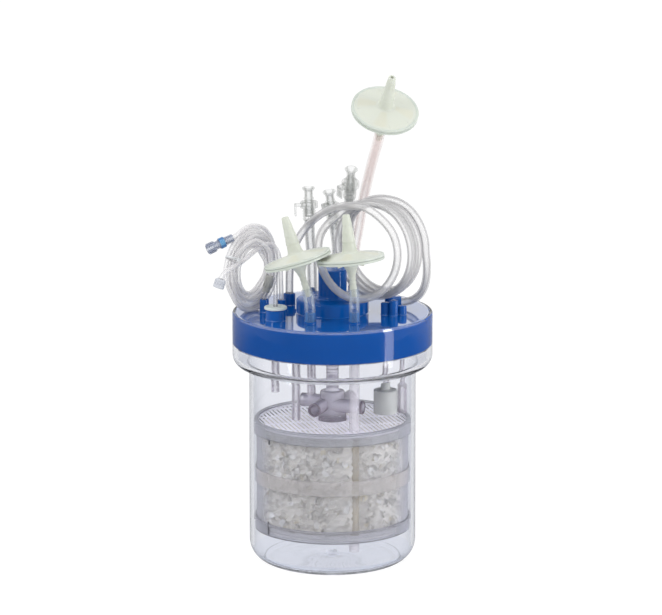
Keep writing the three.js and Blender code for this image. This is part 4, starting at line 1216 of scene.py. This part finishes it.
class BIOREACTOR_OT_basket(bpy.types.Operator):
    """Builds the basket's rings, wall and slotted screens, and fills it with crumpled fibre discs"""

    bl_idname = "bioreactor.basket"
    bl_label = "Basket"

    def execute(self, context):
        sizes = context.scene.bioreactor_basket
        frosted = self.frosted("basket_frosted", sizes.wall_colour, 0.26)
        ends = self.frosted("basket_ends_frosted", tone(178, 179, 184), 0.3)
        wall = self.frosted("basket_wall_film", tone(206, 206, 210), 0.06)
        self.bands(frosted, ends)
        self.catches()
        shape = ring_of(76, 74.8, *frame_height("basket_wall"), 0.3, BAND_SIDES)
        piece("basket_shell", shape, wall, "basket_wall")
        self.screens()
        self.bed(sizes)
        return {"FINISHED"}

    def frosted(self, name, colour, density):
        """Clear plastic gone milky: denser where it is seen edge on, with fine turning marks, and painted shade
        in thin dark lines at the rings' lips and lower edges.
        """
        f = Finish(name)
        edge = f.facing(0.4)
        cloud = f.noise(45, 3)
        x, y, z = f.axes()
        marks = f.rings(z, 2600.0)
        side = (f.facing() * 2.0 - 0.9).clamped()
        shade = f.blend((cloud * 0.35 + edge * 0.5).clamped(), colour, scaled(colour, 0.72))
        shade = f.blend(side * 0.85, shade, tone(116, 115, 130))
        # Painted shade: thin dark lines at the heights where the rings' lips and lower edges cast shadow.
        for height in (0.0453, 0.0355, 0.1342):
            shade = f.blend(z.peak(height, 1400) * 0.9, shade, tone(84, 82, 98))
        normal = f.bump(marks, 0.00006, 0.3)
        skin = f.principled(base_color=shade, roughness=marks * 0.1 + 0.2, normal=normal, ior=1.45)
        cover = (edge ** 2 * 0.5 + side * 0.7 + density + cloud * 0.12).clamped()
        return f.shows_over(cover, (0.97, 0.97, 0.975, 1), skin)

    def bands(self, frosted, ends):
        """The three rings that hold the basket's wall."""
        low, high = frame_height("basket_middle_ring")
        top = [(77.5, 134), (78.7, 134), (78.7, 145.9), (78.1, 146.5), (74, 146.5), (74, 144.5), (77.5, 144.5)]
        middle = [(76.3, low), (77.4, low), (77.4, high), (76.3, high)]
        foot = [(72.8, 35), (77.5, 35), (77.5, 45.5), (78.7, 45.5), (78.7, 47.5), (76.3, 47.5), (76.3, 37)]
        foot += [(72.8, 37)]
        for name, profile, edge, finish in (
            ("top", top, 0.35, ends), ("middle", middle, 0.4, frosted), ("bottom", foot, 0.35, ends),
        ):
            shape = revolve(rounded([*profile, profile[0]], edge), BAND_SIDES)
            piece(f"{name}_band", shape, finish, f"basket_{name}_ring")

    def catches(self):
        """Dark moulded catches that show where the rings lock, on the side towards the left front."""
        a = math.degrees(math.atan2(-46.5, -62.5))
        shapes = []
        for radius, height, tall in ((77.0, 132.5, 7.0), (78.25, 44.0, 13.0)):
            bar = slab((0.7, 1.8, tall), (radius, 0, height), 0.3)
            tooth = slab((0.7, 3.6, 1.4), (radius, -0.9, height + tall * 0.18), 0.3)
            shapes += [turn_z(bar, a), turn_z(tooth, a)]
        dark = moulded("ring_catch_dark", tone(34, 32, 42), 0.4, 0.04)
        piece("ring_catches", joined(shapes), dark)

    def bars(self, radius, low, high, pitch, width, hole):
        """Parallel bars clipped to a circle, each a thin closed prism, broken by the middle hole."""
        count = int((radius - 1) / pitch)
        offset = np.arange(-count, count + 1) * pitch
        half = np.sqrt(radius**2 - offset**2)
        gap = np.where(np.abs(offset) < hole, np.sqrt(np.maximum(hole**2 - offset**2, 0)), 0)
        broken = gap > 0
        start = np.concatenate([-half[~broken], -half[broken], gap[broken]])
        end = np.concatenate([half[~broken], -gap[broken], half[broken]])
        place = np.concatenate([offset[~broken], offset[broken], offset[broken]])
        ends = np.stack([start, end], axis=-1)
        corner = np.array([(x, y, z) for z in (0, 1) for x, y in ((0, -1), (1, -1), (1, 1), (0, 1))])
        x = np.where(corner[:, 0] == 0, ends[:, :1], ends[:, 1:])
        y = place[:, None] + corner[:, 1] * width / 2 * np.where(corner[:, 2] == 1, 1.0, 0.55)
        z = np.where(corner[:, 2] == 1, high, low) + 0 * x
        points = np.stack([x, y, z], axis=-1).reshape(-1, 3)
        quad = np.array([[0, 3, 2, 1], [4, 5, 6, 7], [0, 1, 5, 4], [1, 2, 6, 5], [2, 3, 7, 6], [3, 0, 4, 7]])
        faces = (quad[None] + 8 * np.arange(len(place))[:, None, None]).reshape(-1, 4).tolist()
        return points, faces

    def screens(self):
        """Fine bars over cross ties in a rim, with an eye for the column and a land for the tube; the bars glow
        faintly, as painted light.
        """
        f = Finish("screen_bars")
        wear = f.noise(120, 3)
        shade = f.blend(wear * 0.5, tone(246, 244, 249), tone(222, 219, 228))
        # Painted light: the bars glow faintly, in place of light scattered through the pale plastic.
        finish = f.shows(f.principled(
            base_color=shade, roughness=0.4, normal=f.bump(wear, 0.0002, 0.3), emission_color=shade,
            emission_strength=0.2,
        ))
        column = ring_of(16.2, 14.8, 38.0, 141.8, 0.3, 64)
        discs = (("top", 77.0, 142.4, 144.0, []), ("bottom", 75.8, 37.5, 39.1, [column]))
        for name, radius, low, high, more in discs:
            step = high - 0.8
            parts = [
                turn_z(self.bars(radius - 1.5, step, high, 4.5, 2.8, 17.0), 107),
                turn_z(self.bars(radius - 1.5, low, step, 30.0, 2.4, 17.0), 17),
                ring_of(radius, radius - 3.0, low, high, 0.3, 120),
                ring_of(18.5, 14.9, low, high, 0.3, 64),
                shift(ring_of(8.0, 5.3, low, high, 0.2, 32), *HARVEST_PLACE),
            ]
            piece(f"{name}_screen_bars", joined(parts + more), finish, f"basket_{name}_screen")

    def bed(self, sizes):
        """Crumpled discs in the ring between column and wall, over a packed core.

        Each disc is (r cos a, r sin a, fold |x| + wave sin(3 a + phase) r^2), turned at random and
        set down so that it stays between the two walls and the two screens.
        """
        rng = np.random.default_rng(7)
        count = sizes.disc_count
        ring, spokes = 2, 8
        r = np.concatenate([[0], np.repeat(np.linspace(1 / ring, 1, ring), spokes)])
        a = np.concatenate([[0], np.tile(np.arange(spokes) * 2 * math.pi / spokes, ring)])
        size = rng.uniform(1.8, 4.6, (count, 1))
        fold = rng.uniform(-0.75, 0.75, (count, 1))
        wave = rng.uniform(0.1, 0.32, (count, 1))
        phase = rng.uniform(0, 6.28, (count, 1))
        x, y = r * np.cos(a) * size, r * np.sin(a) * size
        z = fold * np.abs(x) + wave * size * r**2 * np.sin(3 * a + phase)
        z = z + rng.normal(0, 0.12, x.shape) * (r > 0)
        local = np.stack([x, y, z - fold * size * 0.35], axis=-1)
        spin = rng.normal(size=(count, 4))
        spin /= np.linalg.norm(spin, axis=1)[:, None]
        w, i, j, k = spin.T
        turn = np.stack([
            1 - 2 * (j * j + k * k), 2 * (i * j - k * w), 2 * (i * k + j * w),
            2 * (i * j + k * w), 1 - 2 * (i * i + k * k), 2 * (j * k - i * w),
            2 * (i * k - j * w), 2 * (j * k + i * w), 1 - 2 * (i * i + j * j),
        ], axis=-1).reshape(-1, 3, 3)
        local = np.einsum("nij,nkj->nki", turn, local)
        outer = rng.random(count) < 0.78
        radius = np.where(outer, rng.uniform(65.5, 71.0, count), rng.uniform(24, 64, count))
        radius = np.where(rng.random(count) < 0.18, rng.uniform(20, 70, count), radius)
        angle = rng.uniform(0, 2 * math.pi, count)
        height = np.where(outer, rng.uniform(43, 138, count), rng.choice([44.0, 137.5], count))
        centre = np.stack([radius * np.cos(angle), radius * np.sin(angle), height], axis=-1)
        points = local + centre[:, None]
        flat = np.linalg.norm(points[..., :2], axis=-1)
        limit = np.clip(flat, 17.2, 74.2) / np.maximum(flat, 1e-6)
        points[..., 0] *= limit
        points[..., 1] *= limit
        points[..., 2] = np.clip(points[..., 2], 39.9, 141.6)
        near = np.linalg.norm(centre[:, :2] - HARVEST_PLACE, axis=1) < 10.5
        front = (np.abs(centre[:, 0] - HARVEST_PLACE[0]) < 6) & (centre[:, 1] < -50) & (rng.random(count) < 0.7)
        points = points[~(near | front)]
        step = len(r) * np.arange(len(points))[:, None, None]
        spoke = np.arange(spokes)
        fan = np.stack([spoke * 0, 1 + spoke, 1 + (spoke + 1) % spokes], axis=-1)
        quads = np.array(grid_faces(ring, spokes, start=1))
        faces = (fan + step).reshape(-1, 3).tolist() + (quads + step).reshape(-1, 4).tolist()
        core = self.core()
        shape = joined([core, (points.reshape(-1, 3), faces)])
        tint = np.repeat(rng.random(len(points)), len(r))
        tint = np.concatenate([np.full(len(core[0]), 0.3), tint])
        piece("fibre_discs", shape, self.fibre(sizes), "fibre_bed", sharp=60, values={"tint": tint})

    def core(self):
        """Packed middle of the bed: a ring with a lumpy outside, r = 67.5 + sum of crossed waves - well.

        The well is a dent exp(-((a - 291.4) / 5)^2) where the harvest tube stands.
        """
        angle = np.linspace(0, 2 * math.pi, 240, endpoint=False)
        low, high, inner = 41.5, 139.5, 19.0
        z = np.linspace(low, high, 90)[:, None]
        lump = 1.1 * np.sin(17 * angle + z * 0.35) * np.sin(z * 0.8) + 0.8 * np.sin(31 * angle - z * 0.9)
        well = 7.5 * np.exp(-(((np.degrees(angle) - 291.4) / 5.0) ** 2))
        r = np.vstack([67.5 + lump - well, np.full((2, len(angle)), inner)])
        z = np.vstack([z, [[high], [low]]])
        grid = np.stack([r * np.cos(angle), r * np.sin(angle), z + 0 * angle], axis=-1)
        return grid.reshape(-1, 3), grid_faces(len(grid), len(angle), close_rows=True)

    def fibre(self, sizes):
        """Matted fibre: each disc has its own shade, a few are yellowish, and threads cross them."""
        f = Finish("fibre_matted")
        thread = f.noise(900, 5, 0.75)
        clump = f.noise(60, 3)
        shade = f.ramp(f.stored("tint"), [
            (0.0, tone(210, 205, 193)), (0.35, tone(236, 232, 222)), (0.6, sizes.fibre_colour),
            (0.86, tone(254, 253, 248)), (0.93, tone(253, 253, 251)), (0.94, tone(234, 224, 194)),
        ])
        shade = f.blend(thread * 0.16, shade, tone(200, 194, 184))
        shade = f.blend(((clump - 0.5) * 1.1).clamped(), shade, tone(212, 206, 192))
        return f.shows(f.principled(base_color=shade, roughness=0.6, normal=f.bump(thread, 0.0005, 0.6)))


def hose(foot, way, end, axis, reaches, step, radius, sides, bore):
    """Tubing from a nozzle on the deck, past the points of its way, to the barb at the end."""
    points = [(*foot, DECK + 1.8), (*foot, DECK + NOZZLE_HEIGHT), *way]
    points += [along(end, axis, d) for d in reaches]
    return sweep(smooth_path(points, step), radius, sides, bore)


# ---- vent filters
FILTERS = {
    "left_filter": ((-34.2, -52, 317), (-0.284, 0.06, 0.957), (-22, -55), ()),
    "right_filter": ((17.6, -52, 318), (-0.1, 0.06, 0.993), (21.5, -55), ()),
    "vent_filter": (
        (51.5, 0, 456), (0.157, -0.512, 0.845), (20, 76),
        ((21.5, 76, 294), (26, 71, 322), (31.5, 59, 358), (38.5, 40, 393)),
    ),
}


class BIOREACTOR_PG_filters(bpy.types.PropertyGroup):
    milky: colour_choice("Filter shell", "Colour of the milky filter shells", tone(212, 216, 205))
    rose: colour_choice("Rose tubing", "Colour of the vent filter's tube", tone(248, 234, 230))


class BIOREACTOR_OT_filters(bpy.types.Operator):
    """Turns the three disc filters with their ribs, seam and stepped barbs, and runs their tubes"""

    bl_idname = "bioreactor.filters"
    bl_label = "Vent filters"

    def execute(self, context):
        sizes = context.scene.bioreactor_filters
        shell = self.milky_shell(sizes.milky)
        over_nozzle = ((DECK + 12.0) * MM, tone(14, 116, 190))
        clear = clear_tube(
            "filter_tubing", tone(232, 240, 248), tone(176, 188, 206), 0.045, 0.4, 0.05, over_nozzle
        )
        rose = clear_tube("rose_tubing", sizes.rose, tone(226, 202, 196), 0.045, 0.3)
        for name, (centre, axis, foot, way) in FILTERS.items():
            for half, shape in (("top", self.top_half()), ("base", self.lower_half())):
                x, y, _ = shape[0].T
                polar = {"out": np.hypot(x, y), "spoke": np.cos(4 * np.arctan2(y, x) + 0.6)}
                piece(
                    f"{name}_{half}_shell", stand(shape, centre, axis), shell, f"{name}_{half}",
                    sharp=30, values=polar,
                )
            radius, tubing, slot = (5.3, rose, "rose_tube") if way else (5.4, clear, "soft_tube")
            shape = hose(foot, way, centre, axis, (-38, -30), 2.0, radius, 28, 4.15)
            piece(f"{name}_hose", shape, tubing, f"{name}_tube")
        return {"FINISHED"}

    def top_half(self):
        dome = [(29.5, 0.15), (33.5, 0.15), (33.5, 2.2), (33.1, 2.5), (31.4, 2.5), (30.8, 2.2), (29.6, 2.3)]
        dome += [(20, 4.4), (9.6, 6.3), (8.2, 7.0), (7.5, 8.4), (7.2, 9.8), (6.3, 16), (6.7, 17.2), (5.6, 24)]
        dome += [(5.8, 25.2), (4.6, 33), (4.8, 34.2), (3.5, 43.4), (3.1, 44), (1.7, 44), (1.7, 1.3)]
        dome += [(29.5, 1.3), (29.5, 0.15)]
        ribs = []
        for i in range(8):
            points, faces = slab((17.5, 0.9, 1.6), (19.6, 0, 4.9), 0.4)
            points[:, 2] -= (points[:, 0] - 11) * 0.17
            ribs.append(turn_z((points, faces), 45 * i + 12))
        return joined([revolve(rounded(dome, 0.5, 2), 96), *ribs])

    def lower_half(self):
        dome = [
            (29.5, -0.15), (33.5, -0.15), (33.5, -2.2), (33.1, -2.5), (31.2, -2.5), (30.4, -2.9), (9.2, -5.5),
            (7.6, -6.6), (6.6, -8.5), (4.6, -12.5), (3.2, -18), (3.4, -20.6), (2.9, -21), (3.6, -25),
            (3.1, -25.4), (3.6, -30), (2.8, -38), (2.2, -38), (2.2, -1.3), (29.5, -1.3), (29.5, -0.15),
        ]
        ribs = [turn_z(slab((15, 0.9, 1.4), (18, 0, -4.4), 0.4), 60 * i) for i in range(6)]
        return joined([revolve(rounded(dome, 0.45, 2), 96), *ribs])

    def milky_shell(self, milky):
        """Milky plastic with a greenish welded seam, and warmer wedges between the spokes."""
        f = Finish("filter_milky")
        out, spoke = f.stored("out"), f.stored("spoke")
        haze = f.noise(80, 3)
        seam = f.ramp(out / 40, [(0.76, grey(0.0)), (0.79, grey(1.0)), (0.83, grey(0.55)), (0.85, grey(1.0))])
        wedge = ((spoke - 0.2) * 1.6).clamped() * out.between(10, 28)
        shade = f.blend(haze * 0.25, milky, tone(204, 206, 186))
        shade = f.blend(wedge * 0.35, shade, tone(208, 204, 180))
        shade = f.blend(seam * 0.5, shade, f.blend(haze * 0.5, tone(178, 194, 190), tone(192, 202, 198)))
        skin = f.principled(
            base_color=shade, roughness=haze * 0.1 + 0.3, normal=f.bump(f.noise(600, 2), 0.00005, 0.25),
            subsurface_weight=0.12, subsurface_radius=(0.004, 0.004, 0.003), subsurface_scale=1.0,
        )
        return f.shows_over((f.facing(0.3) * 0.2 + 0.88).clamped(), (1, 1, 1, 1), skin)


# ---- quick couplings
COUPLINGS = (
    ((-20, 45), ((-21, 45, 300),), (-23, 45, 337), (-0.03, 0, 1), 0),
    ((2, 58), ((4.4, 57, 306),), (1.2, 55, 333), (-0.139, -0.16, 0.977), -60),
    ((22, 52), ((20.5, 53.5, 288), (17.6, 57, 312)), (17.1, 54.2, 358.2), (0.05, -0.34, 0.94), 40),
)


class BIOREACTOR_PG_couplings(bpy.types.PropertyGroup):
    clear_colour: colour_choice("Couplings", "Colour of the clear couplings", tone(230, 232, 228))


class BIOREACTOR_OT_couplings(bpy.types.Operator):
    """Builds the three quick couplings, each with its tube, body, thumb latch and flared plug"""

    bl_idname = "bioreactor.couplings"
    bl_label = "Quick couplings"

    def execute(self, context):
        sizes = context.scene.bioreactor_couplings
        clear = clear_tube("coupling_clear", sizes.clear_colour, tone(128, 131, 123), 0.07, 0.36, 0.04)
        tubing = clear_tube("coupling_tubing", tone(242, 242, 240), tone(150, 152, 150), 0.1, 0.52)
        for number, (foot, way, end, axis, latch_turn) in enumerate(COUPLINGS, 1):
            coupling = f"coupling_{number}"
            for made, shape, part, body in (
                ("shell", self.body(), "body", "reactor"),
                ("thumb_latch", self.latch(), "latch", f"latch_{number}"),
                ("flared_plug", self.plug(), "plug", f"plug_{number}"),
            ):
                shape = stand(turn_z(shape, latch_turn), end, axis)
                piece(f"{coupling}_{made}", shape, clear, f"{coupling}_{part}", body)
            shape = hose(foot, way, end, axis, (-16, -8, 0), 1.6, 5.2, 26, 3.45)
            piece(f"{coupling}_hose", shape, tubing, f"{coupling}_tube")
        return {"FINISHED"}

    def body(self):
        profile = [(1.6, -8), (2.4, -8), (2.9, -6), (2.4, -5.6), (2.9, -3), (2.5, -2.6), (2.9, 0.3), (6.4, 0.3)]
        for i in range(4):
            low = 1.0 + i * 2.6
            profile += [(6.6, low), (6.6, low + 1.3), (5.9, low + 1.7), (5.9, low + 2.4)]
        profile += [(6.6, 12), (9, 13), (9, 18.5), (8.0, 19.5), (6.4, 19.5), (6.0, 18.7), (5.3, 18.7)]
        profile += [(4.7, 19.3), (4.7, 4), (1.6, 4), (1.6, -8)]
        slot = slab((9, 8.8, 3.2), (-7.5, 0, 15.75), 0.3)
        return carved(revolve(rounded(profile, 0.25, 2), 44), [], [slot])

    def latch(self):
        plate = slab((7.4, 8, 2.4), (-10.9, 0, 15.75), 0.7)
        pad = slab((2.0, 8, 12), (-13.6, 0, 10.95), 0.8)
        ridges = [slab((0.8, 6, 0.7), (-14.2, 0, 7.0 + i * 1.8), 0.3) for i in range(4)]
        return joined([plate, pad, *ridges])

    def plug(self):
        profile = [
            (0, 4.3), (3.8, 4.3), (4.4, 5.3), (4.4, 21.5), (5.2, 21.7), (5.2, 22.9), (4.4, 23.1), (4.4, 28.5),
            (5.0, 30.4), (6.6, 32.3), (6.6, 33.2), (6.3, 33.5), (5.5, 33.5), (3.9, 30.4), (3.4, 28.5),
            (3.4, 7.3), (0, 7.3),
        ]
        return revolve(profile, 48)


# ---- add-on
STEPS = (
    "stage", "lines", "vessel", "head_plate", "deck_parts", "dip_tubes", "drive", "basket", "filters",
    "couplings",
)


class BIOREACTOR_PT_panel(bpy.types.Panel):
    """Lists the bioreactor's pieces with their sizes and colours"""

    bl_idname = "BIOREACTOR_PT_panel"
    bl_label = "Bench bioreactor"
    bl_space_type = "VIEW_3D"
    bl_region_type = "UI"
    bl_category = "Bioreactor"

    def draw(self, context):
        for step in STEPS:
            box = self.layout.box()
            box.operator(f"bioreactor.{step}")
            sizes = getattr(context.scene, f"bioreactor_{step}")
            for name in sizes.__annotations__:
                box.prop(sizes, name)


GROUPS = {
    "stage": BIOREACTOR_PG_stage, "lines": BIOREACTOR_PG_lines, "vessel": BIOREACTOR_PG_vessel,
    "head_plate": BIOREACTOR_PG_head_plate, "deck_parts": BIOREACTOR_PG_deck_parts,
    "dip_tubes": BIOREACTOR_PG_dip_tubes, "drive": BIOREACTOR_PG_drive, "basket": BIOREACTOR_PG_basket,
    "filters": BIOREACTOR_PG_filters, "couplings": BIOREACTOR_PG_couplings,
}
CLASSES = (
    *GROUPS.values(), BIOREACTOR_OT_stage, BIOREACTOR_OT_lines, BIOREACTOR_OT_vessel, BIOREACTOR_OT_head_plate,
    BIOREACTOR_OT_deck_parts, BIOREACTOR_OT_dip_tubes, BIOREACTOR_OT_drive, BIOREACTOR_OT_basket,
    BIOREACTOR_OT_filters, BIOREACTOR_OT_couplings, BIOREACTOR_PT_panel,
)


def register():
    """Registers the classes, and gives the scene each stage's sizes."""
    for made in CLASSES:
        bpy.utils.register_class(made)
    for name, group in GROUPS.items():
        setattr(bpy.types.Scene, f"bioreactor_{name}", bpy.props.PointerProperty(type=group))


def unregister():
    """Takes away what register() added."""
    for name in GROUPS:
        delattr(bpy.types.Scene, f"bioreactor_{name}")
    for made in reversed(CLASSES):
        bpy.utils.unregister_class(made)


def main():
    """Builds every stage in turn."""
    register()
    for step in STEPS:
        getattr(bpy.ops.bioreactor, step)()


if __name__ == "__main__":
    main()
